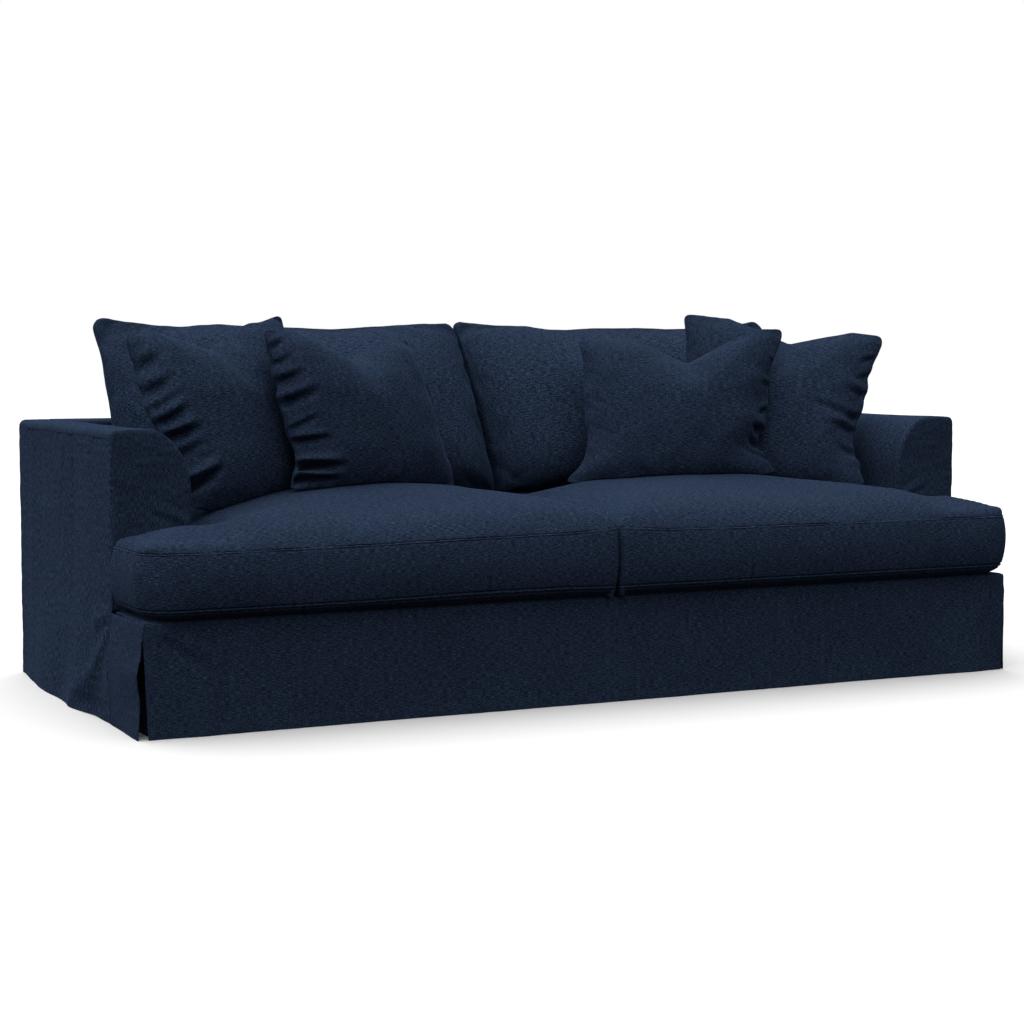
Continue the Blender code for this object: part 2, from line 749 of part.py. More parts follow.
def make_pillow(kind, side):
    form = PILLOWS[(kind, side)]
    ears = {key: Vector(form[key]) for key in ("top_in", "top_out", "foot_out", "foot_in")}
    across_axis = (ears["top_out"] + ears["foot_out"] - ears["top_in"] - ears["foot_in"]).normalized()
    up_axis = (ears["top_in"] + ears["top_out"] - ears["foot_in"] - ears["foot_out"]).normalized()
    front_axis = across_axis.cross(up_axis)
    if front_axis.y > 0.0:
        front_axis.negate()

    def place(u, v, face):
        across = math.sin(u * math.pi / 2.0) * 0.5 + u * 0.5
        rise = math.sin(v * math.pi / 2.0) * 0.5 + v * 0.5
        s = (across + 1.0) / 2.0
        t = (rise + 1.0) / 2.0
        low = ears["foot_in"].lerp(ears["foot_out"], s)
        high = ears["top_in"].lerp(ears["top_out"], s)
        point = low.lerp(high, t)
        side_free = 1.0 - rise * rise
        top_free = 1.0 - across * across
        gather = sum(row["depth"] * bell(rise - row["v"], PILLOW_GATHER_WIDTH) for row in PILLOW_GATHERS)
        near_side = math.exp(-(1.0 - abs(across)) / PILLOW_GATHER_REACH)
        draw = (form["draw_out"] if across > 0.0 else form["draw_in"]) * side_free
        for row in PILLOW_NOTCHES[(kind, side)]:
            if across * row["edge"] > 0.0:
                draw += row["depth"] * bell(rise - row["v"], row["width"]) * ease((1.0 - abs(rise)) / 0.2)
        point -= across_axis * across * (draw + gather * near_side * 0.3)
        chop = PILLOW_CHOP
        dent = max(0.0, 1.0 - abs(across - form["chop_at"]) / chop["reach"]) ** 1.15
        point -= up_axis * form["chop_depth"] * dent * t ** 5
        point -= up_axis * PILLOW_FOOT_SAG * top_free * (1.0 - t) ** 2
        fat_u = 1.0 - abs(across) ** PILLOW_ROUNDNESS
        fat_v = 1.0 - abs(rise) ** PILLOW_ROUNDNESS
        fat = (fat_u * fat_v) ** PILLOW_FULLNESS
        thick = (PILLOW_FRONT_THICKNESS if face > 0 else PILLOW_BACK_THICKNESS) * fat
        thick -= gather * near_side * fat ** 0.5
        thick -= chop["dent"] * dent * bell(rise - 0.85, 0.35) * fat ** 0.5
        return point + front_axis * thick * face

    return two_faced(f"pillow_{kind}_{name_of(side)}", 16, 17, place, side)


def press_against(piece, *neighbours):
    """Cuts the piece back to a hair's breadth from each neighbour that it rests on."""
    for neighbour in neighbours:
        cutter = bpy.data.objects.new(f"{piece.name}_on_{neighbour.name}", neighbour.data.copy())
        cutters.objects.link(cutter)
        swell = cutter.modifiers.new("clearance", "DISPLACE")
        swell.strength = PRESS_CLEARANCE
        swell.mid_level = 0.0
        cutter.hide_render = True
        cutter.display_type = "WIRE"
        cut = piece.modifiers.new(f"rest on {neighbour.name}", "BOOLEAN")
        cut.operation = "DIFFERENCE"
        cut.solver = "EXACT"
        cut.object = cutter


# Build the set

make_outside_back()
make_inside_back()
make_deck()
make_front_skirt()
for side in (-1, 1):
    make_inside_arm(side)
    make_arm_front(side)
    make_outside_arm(side)
    make_side_return(side)
    make_underlap(side)
    seat = make_seat_cushion(side)
    make_back_cushion(side)
    inner = make_pillow("inner", side)
    outer = make_pillow("outer", side)
    press_against(inner, seat)
    press_against(outer, seat, inner)
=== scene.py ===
"""Looks of a fitted sofa slipcover set in one dark blue heathered cloth with flat topstitched seams.

Metres, in the frame's own axes: X across, Y towards the back, Z up, with the floor at 0.
"""

import math

import bmesh
import bpy
import numpy as np
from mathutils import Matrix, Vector
from mathutils.bvhtree import BVHTree


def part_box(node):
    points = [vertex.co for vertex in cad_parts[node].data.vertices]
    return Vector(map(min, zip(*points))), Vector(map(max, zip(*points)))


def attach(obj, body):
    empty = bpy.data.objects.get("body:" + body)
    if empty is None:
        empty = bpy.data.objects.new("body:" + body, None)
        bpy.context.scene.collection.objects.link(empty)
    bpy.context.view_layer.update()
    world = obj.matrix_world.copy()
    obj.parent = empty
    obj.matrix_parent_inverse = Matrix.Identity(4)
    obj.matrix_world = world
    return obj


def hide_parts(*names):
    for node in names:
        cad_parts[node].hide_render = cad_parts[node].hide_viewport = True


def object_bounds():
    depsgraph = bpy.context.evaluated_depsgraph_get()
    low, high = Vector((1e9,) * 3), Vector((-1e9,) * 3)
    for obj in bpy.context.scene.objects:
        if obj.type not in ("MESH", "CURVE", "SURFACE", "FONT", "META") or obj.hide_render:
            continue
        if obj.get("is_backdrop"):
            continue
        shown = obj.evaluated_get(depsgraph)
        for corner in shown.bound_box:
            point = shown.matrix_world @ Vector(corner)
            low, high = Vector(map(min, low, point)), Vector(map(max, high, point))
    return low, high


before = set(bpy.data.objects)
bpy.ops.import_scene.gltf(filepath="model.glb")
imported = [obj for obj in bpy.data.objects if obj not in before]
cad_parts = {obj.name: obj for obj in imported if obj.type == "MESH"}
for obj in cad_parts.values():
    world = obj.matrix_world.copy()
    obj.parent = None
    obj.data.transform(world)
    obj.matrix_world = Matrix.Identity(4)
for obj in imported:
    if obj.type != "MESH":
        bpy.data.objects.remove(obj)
cad_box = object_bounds()


# OUTSIDE BACK
# One tall panel of thick woven cloth behind the sofa, sewn at both sides and along the top.
# It hangs free to the floor in broad shallow folds, with a 2 cm hem turned up and stitched.


def rows(columns, values):
    """A table whose rows name each number by its column."""
    return [dict(zip(columns.split(), row)) for row in values]


HEM_Z = 0.0006
CAD_SHEET = 0.003
HALF_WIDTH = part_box("inside_arm_right")[1].x
TOP_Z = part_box("inside_arm_right")[1].z
BACK_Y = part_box("outside_back")[0].y + CAD_SHEET
CLOTH = 0.0014
EDGE_TURN = 0.008
TURN_START = 1.0 - math.sqrt(0.5)
EDGE_GAP = EDGE_TURN * TURN_START
GROOVE = dict(depth=0.0011, width=0.0018)
HEM = dict(height=0.020, fold=0.0007, stitch=0.0005)
ARM_CORNER_R = 0.018
FLARE_TOP_Z = 0.42
BACK_HEM_OUT = 0.004
BACK_FOLDS = rows("x depth width", [
    (-0.98, 0.006, 0.09),
    (-0.52, 0.005, 0.12),
    (-0.05, 0.006, 0.11),
    (0.44, 0.005, 0.13),
    (0.93, 0.006, 0.09),
])
BACK_DENTS = dict(depth=0.0022, across=0.21, along=0.34, calm=0.10)
NAVY_DARK = (0.0048, 0.0088, 0.0190, 1.0)
NAVY = (0.0105, 0.0178, 0.0353, 1.0)
NAVY_LIGHT = (0.0296, 0.0450, 0.0780, 1.0)
CHENILLE = {
    "Roughness": 0.92,
    "Specular IOR Level": 0.0,
    "Sheen Weight": 0.05,
    "Sheen Roughness": 0.36,
    "Sheen Tint": (0.34, 0.53, 0.96, 1.0),
}
WEFT_PITCH = 0.0019
WARP_PITCH = 0.0026
ROUGH_LATTICE = (97, 89)


def ease(t):
    t = np.clip(t, 0.0, 1.0)
    return t * t * (3.0 - 2.0 * t)


def bell(offset, width):
    return np.exp(-((offset / width) ** 2))


def rough(x, y, seed):
    """Smooth random heights between -1 and 1 that change over one unit of x and of y."""
    across, along = ROUGH_LATTICE
    lattice = np.random.default_rng(seed).uniform(-1.0, 1.0, ROUGH_LATTICE)
    x, y = np.broadcast_arrays(np.asarray(x, float), np.asarray(y, float))
    column = np.floor(x).astype(int)
    row = np.floor(y).astype(int)
    fx = ease(x - column)
    fy = ease(y - row)
    left, right = column % across, (column + 1) % across
    near, far = row % along, (row + 1) % along
    low = lattice[left, near] * (1.0 - fx) + lattice[right, near] * fx
    high = lattice[left, far] * (1.0 - fx) + lattice[right, far] * fx
    return low * (1.0 - fy) + high * fy


def dents(across, along, size, seed):
    """Shallow random dents, each about as long across and along as its size says."""
    return size["depth"] * rough(across / size["across"], along / size["along"], seed)


def turned(near, radius):
    """How far cloth has fallen back at a distance near from the plane of an edge that it turns round."""
    inside = np.clip(1.0 - near / radius, 0.0, 1.0)
    return radius * (1.0 - np.sqrt(1.0 - inside * inside))


def seam(distance):
    """The narrow valley where two panels are sewn together."""
    return -GROOVE["depth"] * np.exp(-distance / GROOVE["width"])


def pucker(distance, along, seed, depth=0.0011, reach=0.020, pitch=0.017):
    """Small uneven ripples that a seam draws into the cloth beside it."""
    ripple = rough(along / pitch, distance / 0.05, seed) + 0.6 * rough(along / (pitch * 2.7), 0.0, seed + 1)
    return depth * ripple * np.exp(-distance / reach)


def hem(height):
    """The turned-up hem is one layer thicker, with a stitched line along its top."""
    fold = HEM["fold"] * ease((HEM["height"] - height) / 0.003)
    return fold - HEM["stitch"] * bell(height - HEM["height"], 0.0016)


def seam_lines(start, end, pitch, sewn=(True, True)):
    """Grid lines between two edges, close together beside each sewn one."""
    fine = np.array([0.0, 0.0008, 0.0018, 0.0032, 0.0050, 0.0075, 0.0110, 0.0160])
    first = start + fine if sewn[0] else np.array([start])
    last = end - fine[::-1] if sewn[1] else np.array([end])
    count = max(2, round((last[0] - first[-1]) / pitch) + 1)
    return np.concatenate([first[:-1], np.linspace(first[-1], last[0], count), last[1:]])


def grey(level):
    return level, level, level, 1.0


def finish(name, settings):
    """A material and its shader, with these settings on the shader's own sockets."""
    material = bpy.data.materials.new(name)
    material.use_nodes = True
    shader = material.node_tree.nodes["Principled BSDF"]
    for socket, value in settings.items():
        shader.inputs[socket].default_value = value
    return material, shader


def chenille(name):
    """Heathered weave with short slubs along the weft, read from UVs in metres."""
    material, shader = finish(name, CHENILLE)
    nodes = material.node_tree.nodes
    links = material.node_tree.links

    metres = nodes.new("ShaderNodeUVMap")
    metres.uv_map = "cloth_metres"

    def noise(label, scale, detail, roughness):
        stretch = nodes.new("ShaderNodeMapping")
        stretch.inputs["Scale"].default_value = (scale[0], scale[1], 1.0)
        links.new(metres.outputs["UV"], stretch.inputs["Vector"])
        texture = nodes.new("ShaderNodeTexNoise")
        texture.name = label
        texture.noise_dimensions = "2D"
        texture.inputs["Scale"].default_value = 1.0
        texture.inputs["Detail"].default_value = detail
        texture.inputs["Roughness"].default_value = roughness
        links.new(stretch.outputs["Vector"], texture.inputs["Vector"])
        return texture.outputs["Fac"]

    def yarns(label, direction, pitch, distortion):
        texture = nodes.new("ShaderNodeTexWave")
        texture.name = label
        texture.wave_type = "BANDS"
        texture.bands_direction = direction
        texture.inputs["Scale"].default_value = math.pi / (10.0 * pitch)
        texture.inputs["Distortion"].default_value = distortion
        texture.inputs["Detail"].default_value = 2.0
        texture.inputs["Detail Scale"].default_value = 0.6
        links.new(metres.outputs["UV"], texture.inputs["Vector"])
        return texture.outputs["Fac"]

    def blend(mode, factor, first, second):
        mixer = nodes.new("ShaderNodeMix")
        mixer.data_type = "RGBA"
        mixer.blend_type = mode
        for socket, value in (("Factor", factor), ("A", first), ("B", second)):
            target = [item for item in mixer.inputs if item.name == socket and item.enabled][0]
            if isinstance(value, bpy.types.NodeSocket):
                links.new(value, target)
            else:
                target.default_value = value
        return [item for item in mixer.outputs if item.enabled][0]

    def ramp(value, stops):
        colours = nodes.new("ShaderNodeValToRGB")
        while len(colours.color_ramp.elements) < len(stops):
            colours.color_ramp.elements.new(0.5)
        for element, (place, colour) in zip(colours.color_ramp.elements, stops):
            element.position = place
            element.color = colour
        links.new(value, colours.inputs["Fac"])
        return colours.outputs["Color"]

    slubs = noise("slubs", (80.0, 760.0), 0.0, 0.5)
    fibres = noise("fibres", (280.0, 800.0), 0.0, 0.5)
    flecks = noise("flecks", (800.0, 820.0), 0.0, 0.5)
    heather = noise("heather", (22.0, 90.0), 3.0, 0.7)
    wear = noise("wear", (5.0, 5.0), 2.0, 0.5)
    yarns_mixed = blend("MIX", 0.5, slubs, fibres)
    yarn_colour = ramp(yarns_mixed, [(0.30, NAVY_DARK), (0.50, NAVY), (0.70, NAVY_LIGHT)])
    fibre_grey = ramp(flecks, [(0.30, grey(0.54)), (0.70, grey(1.46))])
    heather_grey = ramp(heather, [(0.34, grey(0.91)), (0.66, grey(1.09))])
    wear_grey = ramp(wear, [(0.30, grey(0.95)), (0.70, grey(1.05))])
    colour = blend("MULTIPLY", 1.0, yarn_colour, fibre_grey)
    colour = blend("MULTIPLY", 1.0, colour, heather_grey)
    colour = blend("MULTIPLY", 1.0, colour, wear_grey)
    links.new(colour, shader.inputs["Base Color"])

    weft = yarns("weft", "Y", WEFT_PITCH, 1.6)
    warp = yarns("warp", "X", WARP_PITCH, 1.2)
    height = blend("MIX", 0.35, weft, warp)
    height = blend("MIX", 0.45, height, fibres)
    height = blend("MIX", 0.40, height, slubs)
    bump = nodes.new("ShaderNodeBump")
    bump.inputs["Strength"].default_value = 0.14
    bump.inputs["Distance"].default_value = 0.0008
    links.new(height, bump.inputs["Height"])
    links.new(bump.outputs["Normal"], shader.inputs["Normal"])
    return material


cover_cloth = chenille("cover_chenille")


def new_object(name, data):
    item = bpy.data.objects.new(name, data)
    bpy.context.scene.collection.objects.link(item)
    return item


def fit(piece, node):
    """Puts a finished piece on the cover in place of its plain CAD node."""
    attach(piece, "root")
    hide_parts(node)


def cloth_mesh(name, points, quads, uvs, material):
    """A mesh from points and four-sided faces, with a UV pair for each point, in metres."""
    used = np.unique(quads)
    renumber = np.zeros(len(points), int)
    renumber[used] = np.arange(len(used))
    quads = renumber[quads]
    mesh = bpy.data.meshes.new(name)
    mesh.from_pydata(points[used].tolist(), [], quads.tolist())
    layer = mesh.uv_layers.new(name="cloth_metres")
    corners = np.empty(len(mesh.loops), int)
    mesh.loops.foreach_get("vertex_index", corners)
    layer.data.foreach_set("uv", uvs[used][corners].astype(float).ravel())
    mesh.shade_smooth()
    mesh.materials.append(material)
    return mesh


def grid_quads(down, across, flipped):
    index = np.arange(down * across).reshape(down, across)
    quads = np.stack([index[:-1, :-1], index[:-1, 1:], index[1:, 1:], index[1:, :-1]], axis=-1)
    return quads[..., ::-1] if flipped else quads


def panel(
    node, across, up, place, relief, outward, upright=False, keep=None, slub=1.0
):
    """A sewn panel: place gives its plain surface, relief what stands out of it, in metres.

    Slub is how thick its slubs look beside those of the other panels. The result can be asked for
    points on its outer face, at distances across and up.
    """
    s, t = np.meshgrid(across, up)
    base = np.stack(place(s, t), axis=-1)
    normal = np.cross(np.gradient(base, axis=1), np.gradient(base, axis=0))
    normal /= np.linalg.norm(normal, axis=-1, keepdims=True)
    flipped = float((normal * np.array(outward)).sum()) < 0.0
    if flipped:
        normal = -normal
    skin = base + normal * relief(s, t, base)[..., None]
    quads = grid_quads(*s.shape, flipped)
    if keep is not None:
        middle_s = (s[:-1, :-1] + s[1:, 1:]) / 2.0
        middle_t = (t[:-1, :-1] + t[1:, 1:]) / 2.0
        quads = quads[keep(middle_s, middle_t)]
    uvs = np.stack([t, s / slub] if upright else [s, t / slub], axis=-1).reshape(-1, 2)
    name = f"{node}_cloth"
    mesh = cloth_mesh(name, skin.reshape(-1, 3), quads.reshape(-1, 4), uvs, cover_cloth)
    piece = new_object(name, mesh)
    body = piece.modifiers.new("cloth", "SOLIDIFY")
    body.thickness = CLOTH
    body.offset = -1.0
    fit(piece, node)

    def on_cloth(s_wanted, t_wanted, lift=0.0003):
        last_column, last_row = len(across) - 1.001, len(up) - 1.001
        column = np.clip(np.interp(s_wanted, across, np.arange(len(across))), 0, last_column)
        row = np.clip(np.interp(t_wanted, up, np.arange(len(up))), 0, last_row)
        i, j = column.astype(int), row.astype(int)
        u, v = (column - i)[:, None], (row - j)[:, None]
        raised = skin + normal * lift
        low = raised[j, i] * (1.0 - u) + raised[j, i + 1] * u
        high = raised[j + 1, i] * (1.0 - u) + raised[j + 1, i + 1] * u
        return low * (1.0 - v) + high * v

    return on_cloth


def back_half_width(z):
    rise = np.clip((z - (TOP_Z - ARM_CORNER_R)) / ARM_CORNER_R, 0.0, 1.0)
    return HALF_WIDTH - ARM_CORNER_R * (1.0 - np.sqrt(1.0 - rise * rise * 0.98))


def place_outside_back(s, t):
    x = s * back_half_width(t) / HALF_WIDTH
    low = np.clip(1.0 - t / FLARE_TOP_Z, 0.0, 1.0) * ease((HALF_WIDTH - abs(x)) / 0.12)
    wave = sum(row["depth"] * bell(x - row["x"], row["width"]) for row in BACK_FOLDS)
    return x, BACK_Y + (BACK_HEM_OUT + wave) * low, t


def relief_outside_back(s, t, base):
    side = HALF_WIDTH - abs(s)
    top = TOP_Z - t
    size = BACK_DENTS
    bulk = dents(s, t, size, 11) * ease(side / size["calm"]) * ease(top / size["calm"])
    edge = -turned(side, EDGE_TURN) - turned(top, EDGE_TURN)
    edge = edge + seam(side - EDGE_GAP) + seam(top - EDGE_GAP)
    return edge + bulk + pucker(side, t, 12) + pucker(top, s, 13) + hem(t)


side_stop = HALF_WIDTH - EDGE_GAP
back_on_cloth = panel(
    "outside_back",
    seam_lines(-side_stop, side_stop, 0.022),
    seam_lines(HEM_Z, TOP_Z - EDGE_GAP, 0.020),
    place_outside_back,
    relief_outside_back,
    (0.0, 1.0, 0.0),
)


stitch_paths = []


def stitch_row(on_cloth, s, t):
    """A row of topstitches along points across and up a panel."""
    s, t = np.broadcast_arrays(np.asarray(s, float), np.asarray(t, float))
    stitch_paths.append(on_cloth(s, t))


def run(start, end, pitch=0.01):
    """Evenly spaced places from start to end."""
    return np.linspace(start, end, max(2, round(abs(end - start) / pitch)))


stitch_row(back_on_cloth, run(-side_stop + 0.01, side_stop - 0.01), HEM["height"])


# OUTSIDE ARMS
# A tall panel on each side, from the seam just under the arm's top to the floor. The hem stands out
# a little, and soft folds fan down from where the front seam meets the seat platform.

SEAM_GAP = 0.0003
BUTT_GAP = 0.0005
FRONT_Y = -0.55
ARM_FRONT_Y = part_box("arm_front_right")[0].y
DECK_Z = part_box("deck")[1].z
TOP_SEAM_Z = 0.655
FLARE_POWER = 1.3
HEM_FLARE = rows("y out", [
    (-0.319, 0.006),
    (-0.20, 0.012),
    (-0.04, 0.027),
    (0.18, 0.026),
    (0.40, 0.014),
    (0.585, 0.0),
])
SIDE_FOLDS = rows("head_y foot_y depth width", [
    (-0.318, -0.20, -0.004, 0.050),
    (-0.316, -0.06, 0.003, 0.070),
    (0.02, 0.10, -0.005, 0.07),
    (0.30, 0.32, 0.005, 0.08),
])
SIDE_RIPPLES = rows("y depth width", [
    (0.44, 0.0014, 0.024),
    (0.34, -0.0012, 0.022),
    (0.13, 0.0010, 0.030),
    (0.02, -0.0014, 0.014),
])
SIDE_CREASES = rows("y z start end depth", [
    ([-0.325, -0.265, -0.200], [0.256, 0.241, 0.226], 0.010, 0.022, 0.0060),
    ([-0.318, -0.227], [0.240, 0.212], 0.010, 0.024, -0.0050),
    ([-0.314, -0.250, -0.13, -0.03], [0.222, 0.158, 0.075, 0.031], 0.012, 0.036, 0.0068),
    ([-0.310, -0.260, -0.17, -0.08], [0.045, 0.036, 0.026, 0.024], 0.012, 0.024, -0.0040),
    ([0.10, 0.147], [0.61, 0.389], 0.010, 0.016, -0.0016),
])
OUTSIDE_ARM_DENTS = dict(depth=0.0018, across=0.13, along=0.30, calm=0.08)
FOLD_HEAD_Z = 0.30
FOLD_TOP_Z = 0.375
RETURN_SEAM_BULGE = 0.010
SEAM_BULGE_REACH = 0.10


def look_up(table, key, column, at):
    """The column's value where the key equals at, eased between the table's rows."""
    at = np.asarray(at, float)
    value = np.full(at.shape, float(table[0][column]))
    for low, high in zip(table, table[1:]):
        t = ease((at - low[key]) / (high[key] - low[key]))
        value = np.where(at > low[key], low[column] + (high[column] - low[column]) * t, value)
    return value


def distance_to_line(a, b, line_a, line_b):
    """Distance from each point to a line of points."""
    nearest = np.full(np.shape(a), 1.0)
    for a0, b0, a1, b1 in zip(line_a, line_b, line_a[1:], line_b[1:]):
        da, db = a1 - a0, b1 - b0
        reach = max(da * da + db * db, 1e-12)
        t = np.clip(((a - a0) * da + (b - b0) * db) / reach, 0.0, 1.0)
        nearest = np.minimum(nearest, np.hypot(a - a0 - t * da, b - b0 - t * db))
    return nearest


def seam_bulge(z):
    inside = np.clip(z / DECK_Z, 0.0, 1.0)
    return RETURN_SEAM_BULGE * np.sin(math.pi * inside) ** 0.8


def front_turn(z):
    """Radius at which the outside arm turns on to the arm front: nothing beside the side return."""
    return EDGE_TURN * ease((z - DECK_Z) / 0.03) + 1e-6


def outside_arm(side):
    rear = BACK_Y - BUTT_GAP - EDGE_GAP
    length = rear - ARM_FRONT_Y

    def place(s, t):
        start = front_turn(t) * TURN_START
        y = ARM_FRONT_Y + start + s * (length - start) / length
        low = np.clip(1.0 - t / FLARE_TOP_Z, 0.0, 1.0)
        out = look_up(HEM_FLARE, "y", "out", y) * low ** FLARE_POWER
        out = out + seam_bulge(t) * bell(y - ARM_FRONT_Y, SEAM_BULGE_REACH)
        hold = ease((y - ARM_FRONT_Y) / 0.04) * ease((BACK_Y - y) / 0.08)
        for fold in SIDE_FOLDS:
            line = fold["foot_y"] + (fold["head_y"] - fold["foot_y"]) * t / FOLD_HEAD_Z
            out = out + fold["depth"] * ease(1.0 - t / FOLD_TOP_Z) * hold * bell(y - line, fold["width"])
        return side * (HALF_WIDTH + out), y, t

    def relief(s, t, base):
        y = base[..., 1]
        front = y - ARM_FRONT_Y
        back = BACK_Y - y
        top = TOP_SEAM_Z - t
        start = front_turn(t) * TURN_START
        edge = -turned(front, front_turn(t)) - turned(back, EDGE_TURN)
        edge = edge + seam(front - start) + seam(back - EDGE_GAP) + 0.15 * seam(top)
        calm = ease(front / 0.02) * ease(back / 0.05)
        ripple = sum(row["depth"] * bell(y - row["y"], row["width"]) for row in SIDE_RIPPLES)
        bulk = dents(y, t, OUTSIDE_ARM_DENTS, 21 + side) * ease(top / OUTSIDE_ARM_DENTS["calm"])
        bulk = bulk + ripple * ease((t - 0.15) / 0.25) * ease(top / 0.05)
        for row in SIDE_CREASES:
            width = np.interp(y, [row["y"][0], row["y"][-1]], [row["start"], row["end"]])
            bulk = bulk + row["depth"] * bell(distance_to_line(y, t, row["y"], row["z"]), width)
        small = pucker(front - start, t, 22) + pucker(back, t, 23) + pucker(top, y, 24)
        return edge + bulk * calm + small + hem(t)

    panel(
        f"outside_arm_{name_of(side)}",
        seam_lines(0.0, length, 0.010),
        seam_lines(HEM_Z, TOP_SEAM_Z, 0.010),
        place,
        relief,
        (side, 0.0, 0.0),
        upright=True,
        slub=3.0,
    )


def name_of(side):
    return "left" if side < 0 else "right"


for side in (-1, 1):
    outside_arm(side)


# ARM TOPS AND INSIDE ARMS
# The arm's top and its inner wall are one panel, laid over a tight outer corner and a wide round
# shoulder, and sewn to the outside arm 2 cm below the top. Behind the seat only the flat strip goes on.

ARM_INNER_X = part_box("inside_arm_right")[0].x
INSIDE_BACK_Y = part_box("inside_back")[0].y
SHOULDER_X = 1.115
SHOULDER_Z = 0.535
CORNER_STEPS = 8
SHOULDER_STEPS = 30
INSIDE_ARM_DENTS = dict(depth=0.0016, across=0.12, along=0.16, calm_front=0.05, calm_top=0.03)
ARM_STITCH_INSET = 0.006
ARM_STITCH_STOP = 0.21


def arm_section(inset=0.0, corner_steps=CORNER_STEPS, shoulder_steps=SHOULDER_STEPS):
    """(x, z) points over the arm, from the outer corner to the foot of the round shoulder."""
    corner = np.linspace(0.0, math.pi / 2.0, corner_steps + 1)
    shoulder = np.linspace(0.0, math.pi / 2.0, shoulder_steps + 1)
    reach = ARM_CORNER_R - inset
    outer_x = HALF_WIDTH - ARM_CORNER_R + reach * np.cos(corner)
    outer_z = TOP_Z - ARM_CORNER_R + reach * np.sin(corner)
    inner_x = SHOULDER_X - (SHOULDER_X - ARM_INNER_X - inset) * np.sin(shoulder)
    inner_z = SHOULDER_Z + (TOP_Z - SHOULDER_Z - inset) * np.cos(shoulder)
    return np.concatenate([outer_x, inner_x]), np.concatenate([outer_z, inner_z])


def inside_arm(side):
    over_x, over_z = arm_section()
    section_x = np.concatenate([[HALF_WIDTH], over_x, [ARM_INNER_X]])
    section_z = np.concatenate([[TOP_SEAM_Z + SEAM_GAP], over_z, [DECK_Z + SEAM_GAP]])
    steps = np.hypot(np.diff(section_x), np.diff(section_z))
    length = np.concatenate([[0.0], np.cumsum(steps)])
    shoulder_at = float(length[np.argmax(section_x < SHOULDER_X + 1e-6)])
    whole = float(length[-1])

    def place(s, t):
        x = np.interp(t, length, section_x)
        z = np.interp(t, length, section_z)
        return side * x, s, z

    def relief(s, t, base):
        front = s - ARM_FRONT_Y
        back = BACK_Y - s
        cross = np.abs(t - shoulder_at)
        behind = ease((s - INSIDE_BACK_Y) / 0.004)
        edge = -turned(front, EDGE_TURN) - turned(back, EDGE_TURN)
        edge = edge + seam(front - EDGE_GAP) + seam(back - EDGE_GAP) + 0.15 * seam(t) + seam(cross) * behind
        size = INSIDE_ARM_DENTS
        bulk = dents(s, t, size, 31 + side) * ease(front / size["calm_front"]) * ease(t / size["calm_top"])
        return edge + bulk + pucker(front, t, 32) + pucker(t, s, 33, depth=0.0007)

    rear = BACK_Y - EDGE_GAP
    across = seam_lines(ARM_FRONT_Y + EDGE_GAP, INSIDE_BACK_Y - SEAM_GAP, 0.011, (True, False))
    across = np.concatenate([across, seam_lines(INSIDE_BACK_Y + 0.004, rear, 0.011, (False, True))])
    up = np.concatenate([
        [0.0, 0.0008, 0.002],
        length[1:CORNER_STEPS + 2],
        shoulder_at - np.array([0.02, 0.01, 0.004]),
        seam_lines(shoulder_at, whole, 0.010, (False, False)),
    ])
    up = np.unique(np.round(up, 6))

    def kept(s, t):
        return (s < INSIDE_BACK_Y) | (t < shoulder_at)

    on_cloth = panel(
        f"inside_arm_{name_of(side)}", across, up, place, relief, (-side, 0.0, 1.0), keep=kept
    )
    front_row = ARM_FRONT_Y + EDGE_GAP + ARM_STITCH_INSET
    stitch_row(on_cloth, front_row, run(0.004, whole - ARM_STITCH_STOP))


for side in (-1, 1):
    inside_arm(side)


# ARM FRONTS
# A shield-shaped panel closes each arm in front, its grain upright. Its sewn edge follows the arm's
# section and catches the light, and slack cloth lies in slanting creases above the seat.

ARM_FRONT_WIDTH = 0.19
ARM_FRONT_FINE_Z = 0.60
ARM_FRONT_MIDDLE = dict(x=1.1, z=0.5, radius=0.12)
ARM_FRONT_EDGE_STEPS = 16
ARM_FRONT_DENTS = dict(depth=0.0014, across=0.06, along=0.11, calm=0.03)
ARM_FRONT_CREASES = rows("x z slope length width depth", [
    (1.035, 0.492, 0.55, 0.055, 0.007, -0.0032),
    (1.055, 0.462, 0.45, 0.060, 0.008, -0.0034),
    (1.045, 0.475, 0.50, 0.050, 0.007, 0.0026),
    (1.16, 0.535, 0.40, 0.035, 0.008, -0.0020),
    (1.10, 0.60, -0.60, 0.050, 0.014, 0.0012),
])


def crease(a, b, row, a_key="x", b_key="z"):
    """A soft trough or ridge along a sloping line, which fades out at both ends."""
    slope = math.atan(row["slope"])
    da = a - row[a_key]
    db = b - row[b_key]
    along = da * math.cos(slope) + db * math.sin(slope)
    off = -da * math.sin(slope) + db * math.cos(slope)
    return row["depth"] * bell(off, row["width"]) * bell(along, row["length"])


